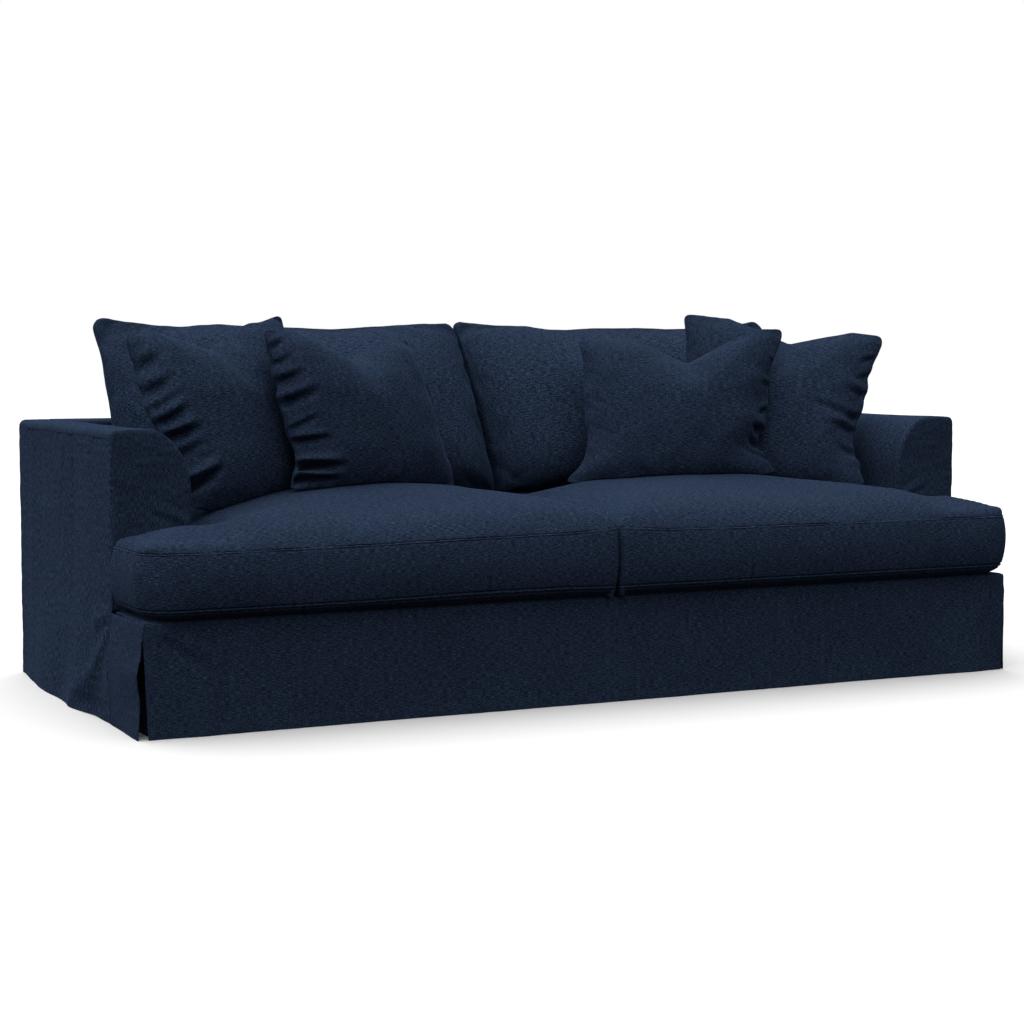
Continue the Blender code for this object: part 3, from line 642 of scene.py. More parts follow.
def arm_front(side):
    over_x, over_z = arm_section()
    edge_x = np.concatenate([[HALF_WIDTH], over_x, [ARM_INNER_X]])
    edge_z = np.concatenate([[DECK_Z], over_z, [DECK_Z]])
    fit_x, fit_z = arm_section(EDGE_GAP, ARM_FRONT_EDGE_STEPS, 60)
    outer = slice(0, ARM_FRONT_EDGE_STEPS + 1)
    inner = slice(ARM_FRONT_EDGE_STEPS + 1, None)
    bottom = DECK_Z + BUTT_GAP
    top = TOP_Z - EDGE_GAP

    def place(s, t):
        right = np.interp(t, fit_z[outer], fit_x[outer])
        left = np.interp(t, fit_z[inner][::-1], fit_x[inner][::-1])
        x = left + (right - left) * s / ARM_FRONT_WIDTH
        return side * x, np.full(x.shape, ARM_FRONT_Y), t

    def relief(s, t, base):
        x = abs(base[..., 0])
        near = distance_to_line(x, t, edge_x, edge_z)
        edge = -turned(near, EDGE_TURN) + seam(near - EDGE_GAP)
        creases = sum(crease(x, t, row) for row in ARM_FRONT_CREASES)
        bulk = dents(x, t, ARM_FRONT_DENTS, 41 + side) + creases
        middle = ARM_FRONT_MIDDLE
        along = np.arctan2(t - middle["z"], x - middle["x"]) * middle["radius"]
        bulk = bulk * ease(near / ARM_FRONT_DENTS["calm"])
        return edge + bulk + pucker(near - EDGE_GAP, along, 42)

    up = np.concatenate([
        np.linspace(bottom, ARM_FRONT_FINE_Z, 56)[:-1],
        np.linspace(ARM_FRONT_FINE_Z, TOP_SEAM_Z, 12)[:-1],
        seam_lines(TOP_SEAM_Z, top, 0.0025, (False, True)),
    ])
    panel(
        f"arm_front_{name_of(side)}",
        seam_lines(0.0, ARM_FRONT_WIDTH, 0.0055),
        up,
        place,
        relief,
        (0.0, -1.0, 0.0),
        upright=True,
    )


for side in (-1, 1):
    arm_front(side)


# INSIDE BACK
# The panel that the back cushions lean on. It follows the arms' round shoulders at both sides, turns
# over the top of the back and ends at the seam with the outside back.

BACK_TOP_TURN = 0.010
BACK_CALM_Y = 0.44
INSIDE_BACK_DENTS = dict(depth=0.002, across=0.18, along=0.2, calm=0.1)


def inside_back():
    wall = TOP_Z - BACK_TOP_TURN - DECK_Z
    arc = BACK_TOP_TURN * math.pi / 2.0
    rear = BACK_Y - EDGE_GAP
    top = rear - INSIDE_BACK_Y - BACK_TOP_TURN
    shoulder_x, shoulder_z = (points[CORNER_STEPS + 1:] for points in arm_section(CAD_SHEET))

    def place(s, t):
        bend = np.clip((t - wall) / BACK_TOP_TURN, 0.0, math.pi / 2.0)
        past = np.clip(t - wall - arc, 0.0, None)
        y = INSIDE_BACK_Y + BACK_TOP_TURN * (1.0 - np.cos(bend)) + past
        z = DECK_Z + BUTT_GAP + np.minimum(t, wall) + BACK_TOP_TURN * np.sin(bend)
        half = np.interp(z, shoulder_z[::-1], shoulder_x[::-1]) - 0.0004
        return s * half / SHOULDER_X, y, z

    def relief(s, t, base):
        back = BACK_Y - base[..., 1]
        side = SHOULDER_X - abs(s)
        size = INSIDE_BACK_DENTS
        bulk = dents(s, t, size, 51) * ease(side / size["calm"]) * ease(t / size["calm"])
        bulk = bulk * ease((BACK_CALM_Y - base[..., 1]) / 0.02)
        return seam(side) - turned(back, EDGE_TURN) + seam(back - EDGE_GAP) + bulk - SEAM_GAP

    bends = wall + np.linspace(0.0, arc, 7)
    over_top = seam_lines(wall + arc, wall + arc + top, 0.012)
    up = np.concatenate([np.linspace(0.0, wall, 30)[:-1], bends, over_top[1:]])
    across = seam_lines(-SHOULDER_X, SHOULDER_X, 0.02)
    panel("inside_back", across, up, place, relief, (0.0, -1.0, 1.0))


inside_back()


# DECK
# The flat T-shaped platform cloth that the seat cushions lie on. It turns down over its front edge
# and over the ends of both wings, where the skirt and the side returns are sewn on.

RETURN_X = 1.192
FRONT_TURN = 0.012
FRONT_GAP = FRONT_TURN * TURN_START
DECK_TUCK = 0.002
DECK_DENTS = dict(depth=0.0008, across=0.15, along=0.15)


def deck():
    half = RETURN_X - FRONT_GAP
    front = FRONT_Y + FRONT_GAP

    def place(s, t):
        return s, t, np.full(s.shape, DECK_Z)

    def relief(s, t, base):
        sides = RETURN_X - abs(s)
        size = DECK_DENTS
        slack = -size["depth"] * (1.0 + rough(s / size["across"], t / size["along"], 61))
        return slack - turned(sides, FRONT_TURN) - turned(t - FRONT_Y, FRONT_TURN)

    arm_line = ARM_INNER_X + DECK_TUCK
    wings = seam_lines(arm_line, half, 0.018, (False, True))
    across = np.concatenate([-wings[::-1], np.linspace(-arm_line, arm_line, 90)[1:-1], wings])
    back_line = ARM_FRONT_Y + DECK_TUCK
    up = np.concatenate([
        seam_lines(front, back_line, 0.020, (True, False)),
        np.linspace(back_line, INSIDE_BACK_Y + DECK_TUCK, 40)[1:],
    ])

    def kept(s, t):
        return (abs(s) < arm_line) | (t < back_line)

    panel("deck", across, up, place, relief, (0.0, 0.0, 1.0), keep=kept)


deck()


# FRONT SKIRT
# One wide apron below the seat, its weft level, from the deck's edge to the floor. It is open at both
# ends below the corner pleats, and hangs almost flat, with a drag line at its top left corner.

SLIT_TOP_Z = 0.215
SKIRT_EDGE_DRAW = 0.009
SLIT_CORNER_R = 0.007
FREE_EDGE = dict(depth=0.0012, reach=0.003)
SKIRT_DENTS = dict(depth=0.0012, across=0.10, along=0.12)
SKIRT_RIPPLES = dict(depth=0.0010, across=0.035, along=0.20)
SKIRT_CALM = 0.02
SKIRT_WAVES = rows("x depth width", [
    (-1.05, 0.005, 0.05),
    (-0.62, -0.003, 0.12),
    (0.10, 0.003, 0.16),
    (0.70, -0.003, 0.12),
    (1.08, 0.004, 0.05),
])
SKIRT_CREASES = rows("x z slope length width depth", [
    (-1.118, 0.200, -0.80, 0.055, 0.010, -0.0052),
    (-1.145, 0.232, -0.75, 0.022, 0.008, 0.0040),
    (-1.090, 0.205, -0.70, 0.050, 0.014, 0.0040),
    (-1.060, 0.165, -0.60, 0.060, 0.014, -0.0014),
    (-0.70, 0.14, 0.8, 0.10, 0.03, 0.0012),
    (0.55, 0.13, -0.9, 0.12, 0.03, -0.0012),
    (1.10, 0.16, 1.0, 0.06, 0.02, 0.0016),
])


def corner_turn(z):
    """Radius at which the skirt and the side return meet above the slit."""
    return SLIT_CORNER_R * ease((z - SLIT_TOP_Z) / 0.015) + 1e-6


def free_edge(distance):
    """Cloth bends back a little beside an edge that nothing holds."""
    return FREE_EDGE["depth"] * np.exp(-distance / FREE_EDGE["reach"])


def front_skirt():
    widest = RETURN_X - SEAM_GAP

    def place(s, t):
        open_slit = np.clip(1.0 - t / SLIT_TOP_Z, 0.0, 1.0)
        half = widest - SKIRT_EDGE_DRAW * open_slit - corner_turn(t) * TURN_START
        x = s * half / widest
        wave = sum(row["depth"] * bell(x - row["x"], row["width"]) for row in SKIRT_WAVES)
        return x, FRONT_Y - wave * open_slit, t

    def relief(s, t, base):
        x = base[..., 0]
        top = DECK_Z - t
        side = RETURN_X - abs(x)
        hold = ease(side / SKIRT_CALM)
        bulk = dents(x, t, SKIRT_DENTS, 71) + dents(x, t, SKIRT_RIPPLES, 72)
        bulk = (bulk + sum(crease(x, t, row) for row in SKIRT_CREASES)) * hold
        edge = -turned(top, FRONT_TURN) - turned(side, corner_turn(t)) * ease((t - SLIT_TOP_Z) / 0.01)
        edge = edge + bulk - free_edge(widest - abs(s))
        return edge + pucker(top, s, 73, depth=0.0007) + hem(t)

    panel(
        "front_skirt",
        seam_lines(-widest, widest, 0.0095),
        seam_lines(HEM_Z, DECK_Z - FRONT_GAP, 0.0065),
        place,
        relief,
        (0.0, -1.0, 0.0),
    )


front_skirt()


# SIDE RETURNS
# The short panels from each arm front to the front corner, their grain upright. The front edge hangs
# free and swings out at the left corner, so that the pleat behind it shows as a dark wedge.

RETURN_SWING = {-1: 1.0, 1: 0.15}
RETURN_SETBACK = 0.0033
RETURN_DENTS = dict(depth=0.0012, across=0.07, along=0.10, calm=0.02)
RETURN_EDGE = rows("z out", [
    (0.0, 0.014),
    (0.08, 0.010),
    (0.14, 0.016),
    (0.20, 0.005),
    (0.262, 0.0),
])


def side_return(side):
    length = ARM_FRONT_Y - SEAM_GAP - FRONT_Y
    at_arm = HEM_FLARE[0]["out"]

    def place(s, t):
        start = RETURN_SETBACK + corner_turn(t) * TURN_START
        start = start - RETURN_SETBACK * ease((t - SLIT_TOP_Z) / 0.01)
        y = FRONT_Y + start + s * (length - start) / length
        u = ease((y - FRONT_Y) / length)
        free = look_up(RETURN_EDGE, "z", "out", t) * RETURN_SWING[side]
        flare = at_arm * np.clip(1.0 - t / FLARE_TOP_Z, 0.0, 1.0) ** FLARE_POWER
        seam_x = HALF_WIDTH + flare + seam_bulge(t)
        x = RETURN_X + free + (seam_x - RETURN_X - free) * u
        return side * x, y, t

    def relief(s, t, base):
        y = base[..., 1]
        top = DECK_Z - t
        front = y - FRONT_Y
        edge = -turned(top, FRONT_TURN) * ease((ARM_FRONT_Y - y) / 0.02)
        edge = edge - turned(front, corner_turn(t)) * ease((t - SLIT_TOP_Z) / 0.01)
        edge = edge + seam(length - s) - free_edge(s)
        size = RETURN_DENTS
        bulk = dents(y, t, size, 81 + side) * ease(s / size["calm"]) * ease((length - s) / size["calm"])
        return edge + bulk + pucker(length - s, t, 82) + hem(t)

    on_cloth = panel(
        f"side_return_{name_of(side)}",
        seam_lines(0.0, length, 0.006),
        seam_lines(HEM_Z, DECK_Z - FRONT_GAP, 0.006),
        place,
        relief,
        (side, 0.0, 0.0),
        upright=True,
    )
    stitch_row(on_cloth, length - 0.005, run(0.004, DECK_Z - 0.01))


for side in (-1, 1):
    side_return(side)


# PLEAT UNDERLAPS
# A strip of the same cloth folded round each front corner behind the slit, so that nothing but cloth
# shows when the pleat opens. It hangs from the deck to the floor.

UNDERLAP_INSET = 0.018
UNDERLAP_LEG = 0.095
UNDERLAP_R = 0.012
UNDERLAP_GAP = 0.004
UNDERLAP_DENTS = dict(depth=0.0012, across=0.05, along=0.12)


def pleat_underlap(side):
    front = FRONT_Y + CAD_SHEET + UNDERLAP_INSET
    outer = RETURN_X - CAD_SHEET - UNDERLAP_INSET
    leg = UNDERLAP_LEG - UNDERLAP_R
    arc = UNDERLAP_R * math.pi / 2.0

    def place(s, t):
        bend = np.clip((s - leg) / UNDERLAP_R, 0.0, math.pi / 2.0)
        past = np.clip(s - leg - arc, 0.0, None)
        x = outer - UNDERLAP_LEG + np.minimum(s, leg) + UNDERLAP_R * np.sin(bend)
        y = front + UNDERLAP_R * (1.0 - np.cos(bend)) + past
        return side * x, y, t

    def relief(s, t, base):
        size = UNDERLAP_DENTS
        return dents(s, t, size, 91 + side) - size["depth"] + hem(t) * 0.5

    across = np.concatenate([
        np.linspace(0, leg, 12)[:-1],
        leg + np.linspace(0, arc, 7),
        np.linspace(leg + arc, leg * 2 + arc, 12)[1:],
    ])
    panel(
        f"pleat_underlap_{name_of(side)}",
        across,
        np.linspace(HEM_Z, DECK_Z - UNDERLAP_GAP, 34),
        place,
        relief,
        (side, -1.0, 0.0),
    )


for side in (-1, 1):
    pleat_underlap(side)


# SEAT CUSHIONS
# Two boxed, T-shaped cushions with full crowned tops, each with a wing in front of its arm. Flat
# double-stitched seams join the boxing to the top and to the underside, which rolls in over the deck.

SEAT_FRONT_Y = -0.582
SEAT_EAR_X = 1.193
SEAT_SPLIT_X = 0.0055
SEAT_SPLIT_SHIFT = dict(x=-0.015, reach=0.60)
SEAT_NOTCH_X = ARM_INNER_X - 0.0115
SEAT_NOTCH_Y = ARM_FRONT_Y - 0.0065
SEAT_BACK_Y = 0.388
SEAT_SEAMS = {
    -1: rows("x upper lower", [
        (0.0, 0.433, 0.289),
        (0.06, 0.429, 0.290),
        (0.16, 0.4255, 0.293),
        (0.35, 0.4225, 0.293),
        (0.75, 0.417, 0.287),
        (1.0, 0.415, 0.287),
    ]),
    1: rows("x upper lower", [
        (0.0, 0.433, 0.288),
        (0.06, 0.429, 0.289),
        (0.16, 0.4245, 0.289),
        (0.35, 0.422, 0.289),
        (1.0, 0.4215, 0.290),
    ]),
}
SEAT_BOXING = 0.130
SEAT_UNDER = 0.0266
SEAT_FOOT_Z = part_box("seat_cushion_right")[0].z
SEAT_EDGE_RISE = 0.047
SEAT_EDGE_REACH = 0.030
SEAT_CROWN = 0.057
SEAT_CROWN_REACH = 0.21
SEAT_PRESSED_Z = 0.462
SEAT_PRESSED_FROM_Y = -0.02
SEAT_PRESSED_OVER = 0.18
SEAT_SPLIT_LIFT = dict(height=0.002, width=0.05, over=0.30)
SEAT_ARM_LIFT = dict(height=0.020, width=0.06, over=0.10)
SEAT_CORNERS = dict(front_inner=0.015, front_outer=0.075, back=0.03)
SEAT_WING_CORNER = {-1: 0.016, 1: 0.045}
SEAT_BULGE = 0.011
SEAT_ROLL_IN = 0.038
SEAT_WEAVE_RISE = 0.6
SEAT_DENTS = dict(depth=0.0030, across=0.16, along=0.16, calm=0.12)
SEAT_BOXING_DENTS = dict(depth=0.0016, across=0.11, along=0.09, calm=0.02)
SEAT_PUCKERS = dict(depth=0.0016, at=0.018, width=0.016)
SEAT_ARM_SAG = dict(depth=0.018, from_x=0.90, over=0.12)
TOP_SEAM_RIDGE = rows("at out width", [
    (0.0, -0.0030, 0.0014),
    (0.0030, 0.0009, 0.0016),
    (0.0060, -0.0014, 0.0012),
])
LOWER_SEAM_RIDGE = rows("at out width", [
    (0.0, -0.0032, 0.0016),
    (0.0088, -0.0030, 0.0015),
])
SEAT_BESIDE_SEAM = [
    0.0007, 0.0014, 0.0022, 0.0030, 0.0038, 0.0047, 0.0056, 0.0065, 0.0080, 0.0105, 0.0145,
]
SEAT_UNDER_STEPS = [
    0.0008, 0.0016, 0.0028, 0.0042, 0.0058, 0.0072, 0.0080, 0.0088, 0.0096, 0.0106,
    0.0125, 0.0150, 0.0180, 0.0215, 0.0245, SEAT_UNDER,
]
SEAT_STITCHES = dict(below_top=0.0030, zigzag=(0.0016, 0.0072), step=0.004)
cushion_cloth = chenille("cushion_chenille")


def round_corner(x, y, corner_x, sign_x, corner_y, sign_y, radius):
    """Draws a square corner in to a round one, with the grid inside it following."""
    u = (sign_x * (x - corner_x) + radius) / radius
    v = (sign_y * (y - corner_y) + radius) / radius
    near = (u > 0.0) & (v > 0.0)
    u = np.clip(u, 0.0, 1.0)
    v = np.clip(v, 0.0, 1.0)
    round_x = corner_x + sign_x * (u * np.sqrt(1.0 - v * v / 2.0) - 1.0) * radius
    round_y = corner_y + sign_y * (v * np.sqrt(1.0 - u * u / 2.0) - 1.0) * radius
    return np.where(near, round_x, x), np.where(near, round_y, y)


def seat_edge_distance(x, y):
    """How far a place on the cushion's top is from its nearest edge."""
    past_x = SEAT_NOTCH_X - x
    past_y = SEAT_NOTCH_Y - y
    notch = np.where((past_x > 0) & (past_y > 0), np.hypot(past_x, past_y), np.maximum(past_x, past_y))
    sides = [x - SEAT_SPLIT_X, y - SEAT_FRONT_Y, SEAT_EAR_X - x, SEAT_BACK_Y - y, notch]
    return np.clip(np.minimum.reduce(sides), 0.0, None)


def seat_top(x, y, side):
    """Height of the crowned top, pressed flat under the back cushion."""
    edge = seat_edge_distance(x, y)
    lift = SEAT_SPLIT_LIFT
    near_split = bell(x - SEAT_SPLIT_X, lift["width"]) * ease((y - SEAT_FRONT_Y) / lift["over"])
    low = look_up(SEAT_SEAMS[side], "x", "upper", x) + lift["height"] * near_split
    lift = SEAT_ARM_LIFT
    near_arm = lift["height"] * bell(x - ARM_INNER_X, lift["width"])
    low = low + near_arm * ease((y - ARM_FRONT_Y) / lift["over"])
    rise = SEAT_EDGE_RISE * (1.0 - np.exp(-edge / SEAT_EDGE_REACH))
    crown = SEAT_CROWN * (1.0 - np.exp(-((edge / SEAT_CROWN_REACH) ** 1.5)))
    sag = SEAT_ARM_SAG
    sunk = sag["depth"] * ease((x - sag["from_x"]) / sag["over"]) * ease(edge / 0.05)
    pressed = ease((y - SEAT_PRESSED_FROM_Y) / SEAT_PRESSED_OVER)
    return (low + rise + crown - sunk) * (1.0 - pressed) + SEAT_PRESSED_Z * pressed


def seam_ridge(distance, table):
    return sum(row["out"] * bell(distance - row["at"], row["width"]) for row in table)


def ordered_rim(quads):
    """The rim of an open sheet as one closed chain of point numbers."""
    edges = np.concatenate([quads[:, [0, 1]], quads[:, [1, 2]], quads[:, [2, 3]], quads[:, [3, 0]]])
    known = {(int(a), int(b)) for a, b in edges}
    follow = {a: b for a, b in known if (b, a) not in known}
    start = min(follow)
    chain = [start]
    while follow[chain[-1]] != start:
        chain.append(follow[chain[-1]])
    return np.array(chain)


def outward_along(rim):
    """Level directions straight out of a closed rim, eased round its corners."""
    tangent = np.roll(rim, -1, axis=0)[:, :2] - np.roll(rim, 1, axis=0)[:, :2]
    outward = np.stack([tangent[:, 1], -tangent[:, 0]], axis=-1)
    for _ in range(6):
        outward /= np.linalg.norm(outward, axis=1, keepdims=True)
        outward = (np.roll(outward, 1, axis=0) + outward * 2.0 + np.roll(outward, -1, axis=0)) / 4.0
    return outward / np.linalg.norm(outward, axis=1, keepdims=True)


def close_underside(mesh):
    """Fills the rim that is still open under the cushion with triangles."""
    bm = bmesh.new()
    bm.from_mesh(mesh)
    rim_edges = [item for item in bm.edges if item.is_boundary]
    bmesh.ops.contextual_create(bm, geom=rim_edges)
    bmesh.ops.triangulate(bm, faces=[face for face in bm.faces if len(face.verts) > 4])
    bm.to_mesh(mesh)
    bm.free()
    mesh.shade_smooth()


def crowned_top(side):
    """The top panel's points, its UVs in metres and its faces, on a grid with the T's notch left out."""
    x_lines = np.concatenate([
        seam_lines(SEAT_SPLIT_X, SEAT_NOTCH_X, 0.014), seam_lines(SEAT_NOTCH_X, SEAT_EAR_X, 0.012)[1:]
    ])
    y_lines = np.concatenate([
        seam_lines(SEAT_FRONT_Y, SEAT_NOTCH_Y, 0.012), seam_lines(SEAT_NOTCH_Y, SEAT_BACK_Y, 0.015)[1:]
    ])
    x, y = np.meshgrid(x_lines, y_lines)
    quads = grid_quads(*x.shape, False)
    middle_x = (x[:-1, :-1] + x[1:, 1:]) / 2.0
    middle_y = (y[:-1, :-1] + y[1:, 1:]) / 2.0
    quads = quads[(middle_x < SEAT_NOTCH_X) | (middle_y < SEAT_NOTCH_Y)].reshape(-1, 4)

    edge = seat_edge_distance(x, y)
    pressed = ease((y - SEAT_PRESSED_FROM_Y) / SEAT_PRESSED_OVER)
    z = seat_top(x, y, side)
    size = SEAT_DENTS
    z = z + dents(x, y, size, 101 + side) * ease(edge / size["calm"]) * (1.0 - pressed)
    drawn = rough(x / 0.034, y / 0.034, 103 + side) + 0.7 * rough(x / 0.018, y / 0.018, 104 + side)
    puckers = SEAT_PUCKERS
    z = z + puckers["depth"] * drawn * bell(edge - puckers["at"], puckers["width"]) * (1.0 - pressed)
    z = z - 0.0016 * np.exp(-edge / 0.0014)
    flat_x, flat_y = x.ravel(), y.ravel()
    corners = SEAT_CORNERS
    x, y = round_corner(x, y, SEAT_SPLIT_X, -1, SEAT_FRONT_Y, -1, corners["front_inner"])
    x, y = round_corner(x, y, SEAT_EAR_X, 1, SEAT_FRONT_Y, -1, corners["front_outer"])
    x, y = round_corner(x, y, SEAT_EAR_X, 1, SEAT_NOTCH_Y, 1, SEAT_WING_CORNER[side])
    x, y = round_corner(x, y, SEAT_SPLIT_X, -1, SEAT_BACK_Y, 1, corners["back"])
    top = np.stack([x, y, z], axis=-1).reshape(-1, 3)
    top_uv = np.stack([flat_x, flat_y + SEAT_WEAVE_RISE * z.ravel()], axis=-1)
    return top, top_uv, quads


def seat_cushion(side):
    top, top_uv, quads = crowned_top(side)
    chain = ordered_rim(quads)
    rim = top[chain]
    outward = outward_along(rim)
    walked = np.concatenate([[0.0], np.cumsum(np.linalg.norm(np.diff(rim, axis=0), axis=1))])

    height = SEAT_BOXING
    lower_seam = look_up(SEAT_SEAMS[side], "x", "lower", rim[:, 0])
    beside_seam = np.array(SEAT_BESIDE_SEAM)
    depths = np.concatenate([
        beside_seam,
        np.linspace(0.020, height - 0.020, 11),
        height - beside_seam[::-1],
        [height],
        height + np.array(SEAT_UNDER_STEPS),
    ])
    broken = 0.25 + 0.85 * ease(0.5 + 1.3 * rough(walked / 0.030, 0.0, 111 + side))
    points = [top]
    uvs = [top_uv]
    offset = len(top)
    above = chain
    for depth in depths:
        if depth <= height:
            out = SEAT_BULGE * math.sin(math.pi * depth / height) ** 0.75
            out = out + seam_ridge(depth, TOP_SEAM_RIDGE) * broken
            out = out + seam_ridge(height - depth, LOWER_SEAM_RIDGE[:1])
            z_row = rim[:, 2] + (lower_seam - rim[:, 2]) * depth / height
        else:
            under = (depth - height) / SEAT_UNDER
            roll = SEAT_ROLL_IN * (1.0 - 0.6 * np.clip(-outward[:, 0], 0.0, None) ** 2)
            out = -roll * under ** 1.9
            out = out + seam_ridge(depth - height, LOWER_SEAM_RIDGE)
            z_row = lower_seam + (SEAT_FOOT_Z - lower_seam) * under
        calm = min(1.0, (height + SEAT_UNDER - depth) / SEAT_BOXING_DENTS["calm"])
        soft = dents(walked, depth, SEAT_BOXING_DENTS, 105 + side) * calm
        soft = soft + pucker(depth, walked, 107 + side, depth=0.0007, reach=0.020, pitch=0.024)
        lower = pucker(abs(height - depth), walked, 109 + side, depth=0.0008, reach=0.018, pitch=0.021)
        soft = soft + lower * calm
        snug = 1.0 - 0.65 * np.clip(-outward[:, 0], 0.0, None) ** 2
        snug = snug - 0.75 * np.clip(outward[:, 1], 0.0, None) ** 2
        xy = rim[:, :2] + outward * ((out + soft) * snug)[:, None]
        points.append(np.column_stack([xy, z_row]))
        uvs.append(np.column_stack([walked, np.full(len(walked), -depth)]))
        below = np.arange(offset, offset + len(chain))
        ring = np.stack([above, below, np.roll(below, -1), np.roll(above, -1)], axis=-1)
        quads = np.concatenate([quads, ring])
        offset += len(chain)
        above = below
    points = np.concatenate(points)
    uvs = np.concatenate(uvs)
    points[:, 0] *= side
    near_split = np.clip(1.0 - abs(points[:, 0]) / SEAT_SPLIT_SHIFT["reach"], 0.0, 1.0)
    points[:, 0] += SEAT_SPLIT_SHIFT["x"] * near_split ** 2
    if side < 0:
        quads = quads[:, ::-1]
    node = f"seat_cushion_{name_of(side)}"
    mesh = cloth_mesh(f"{node}_cloth", points, quads, uvs, cushion_cloth)
    piece = new_object(f"{node}_cloth", mesh)
    close_underside(mesh)
    fit(piece, node)

    def along_seam(depth, lift):
        """Points a few millimetres apart along the seam at one depth below the top."""
        start = len(top) + int(np.argmin(abs(depths - depth))) * len(chain)
        line = points[start:start + len(chain)].copy()
        line[:, :2] += outward * np.array([side, 1.0]) * lift
        fine = np.arange(0.0, walked[-1], SEAT_STITCHES["step"])
        return np.stack([np.interp(fine, walked, line[:, axis]) for axis in range(3)], axis=-1)

    cushion_stitch_paths.append(along_seam(SEAT_STITCHES["below_top"], 0.0004))
    high, low = (along_seam(height + below, 0.0002) for below in SEAT_STITCHES["zigzag"])
    slant = (np.arange(len(high)) % 5 / 4.0)[:, None]
    cushion_stitch_paths.append(high * (1.0 - slant) + low * slant)
    return piece


cushion_stitch_paths = []
seat_pieces = {side: seat_cushion(side) for side in (-1, 1)}


# BACK CUSHIONS
# Two loose cushions that lean on the inside back, flat behind and round in front, with a narrow
# boxed edge. Their filling has settled, so the top edge waves a little and the face is softly dented.

BACK_CUSHION = dict(inner_x=0.004, outer_x=0.998, outer_top_x=1.04, foot_z=0.452, top_z=0.935)
BACK_CUSHION_FRONT = dict(foot_y=0.165, top_y=0.385)
BACK_CUSHION_REAR = rows("z y", [
    (0.462, 0.396),
    (0.690, 0.396),
    (0.80, 0.425),
    (0.935, 0.455),
])
BACK_CUSHION_CROWN = 0.095
BACK_CUSHION_BOXED = dict(sides=0.10, ends=0.35)
BACK_CUSHION_DIPS = rows("waves depth", [(1, 0.008), (3, 0.004)])
BACK_CUSHION_TOPS = {
    -1: rows("across lift", [
        (0.0, 0.004),
        (0.20, 0.004),
        (0.42, -0.008),
        (0.70, 0.0),
        (0.85, 0.0),
        (1.0, 0.010),
    ]),
    1: rows("across lift", [
        (0.0, 0.008),
        (0.20, 0.006),
        (0.30, -0.003),
        (0.45, -0.006),
        (0.65, 0.0),
        (0.85, 0.0),
        (1.0, 0.018),
    ]),
}
BACK_CUSHION_SIDE_BULGE = 0.014
BACK_CUSHION_LEAN = 0.061
BACK_CUSHION_CORNERS = dict(inner=0.045, outer=0.075)
BACK_CUSHION_ASPECT = 2.1
BACK_CUSHION_FOLDS = {
    -1: rows("u v slope length width depth", [
        (0.93, 0.55, 0.5, 0.10, 0.025, -0.006),
        (-0.90, 0.30, -0.6, 0.10, 0.03, -0.004),
    ]),
    1: rows("u v slope length width depth", [
        (-0.92, 0.20, -0.5, 0.10, 0.03, -0.004),
        (-0.80, -0.55, -0.9, 0.14, 0.04, -0.005),
    ]),
}
BACK_CUSHION_FILLING = dict(pressure=2.0, frames=14, most=0.014, spare=(0.012, 0.035), bending=0.6)
BACK_CUSHION_FLAT = dict(up_to_z=0.69, y=0.3965)
BACK_CUSHION_GRID = (72, 52)
PRESS_CLEARANCE = 0.0015


def two_faces(name, grid, place, side, material, size):
    """A closed filled form: place(u, v, face) gives its front (face 1) and its back (face -1).

    Also gives back each point's u, v and face, with 0 for the face along the seam.
    """
    u, v = np.meshgrid(*(np.linspace(-1.0, 1.0, steps + 1) for steps in grid))
    points, quads, uvs = [], [], []
    count = u.size
    for number, face in enumerate((1, -1)):
        points.append(np.stack(place(u, v, face), axis=-1).reshape(-1, 3))
        quads.append(grid_quads(*u.shape, face * side < 0).reshape(-1, 4) + number * count)
        uvs.append(np.stack([u * size[0] / 2.0 + number * 3.0, v * size[1] / 2.0], axis=-1).reshape(-1, 2))
    points = np.concatenate(points)
    points[:, 0] *= side
    quads = np.concatenate(quads)
    uvs = np.concatenate(uvs)
    index = np.arange(count).reshape(u.shape)
    rim = np.unique(np.concatenate([index[0], index[-1], index[:, 0], index[:, -1]]))
    same = np.arange(2 * count)
    same[rim + count] = rim
    used, joined = np.unique(same, return_inverse=True)
    mesh = bpy.data.meshes.new(name)
    mesh.from_pydata(points[used].tolist(), [], joined[quads].tolist())
    layer = mesh.uv_layers.new(name="cloth_metres")
    layer.data.foreach_set("uv", uvs[quads.ravel()].ravel())
    mesh.shade_smooth()
    mesh.materials.append(material)
    piece = new_object(name, mesh)
    face_of = np.repeat([1.0, -1.0], count)
    face_of[rim] = 0.0
    where = np.stack([np.tile(u.ravel(), 2), np.tile(v.ravel(), 2), face_of], axis=-1)[used]
    return piece, where


def get_points(mesh):
    points = np.empty(len(mesh.vertices) * 3)
    mesh.vertices.foreach_get("co", points)
    return points.reshape(-1, 3)


def set_points(mesh, points):
    mesh.vertices.foreach_set("co", points.ravel())
    mesh.update()


def weigh(piece, name, weights):
    group = piece.vertex_groups.new(name=name)
    for number in np.nonzero(weights > 0.005)[0]:
        group.add([int(number)], float(min(1.0, weights[number])), "REPLACE")


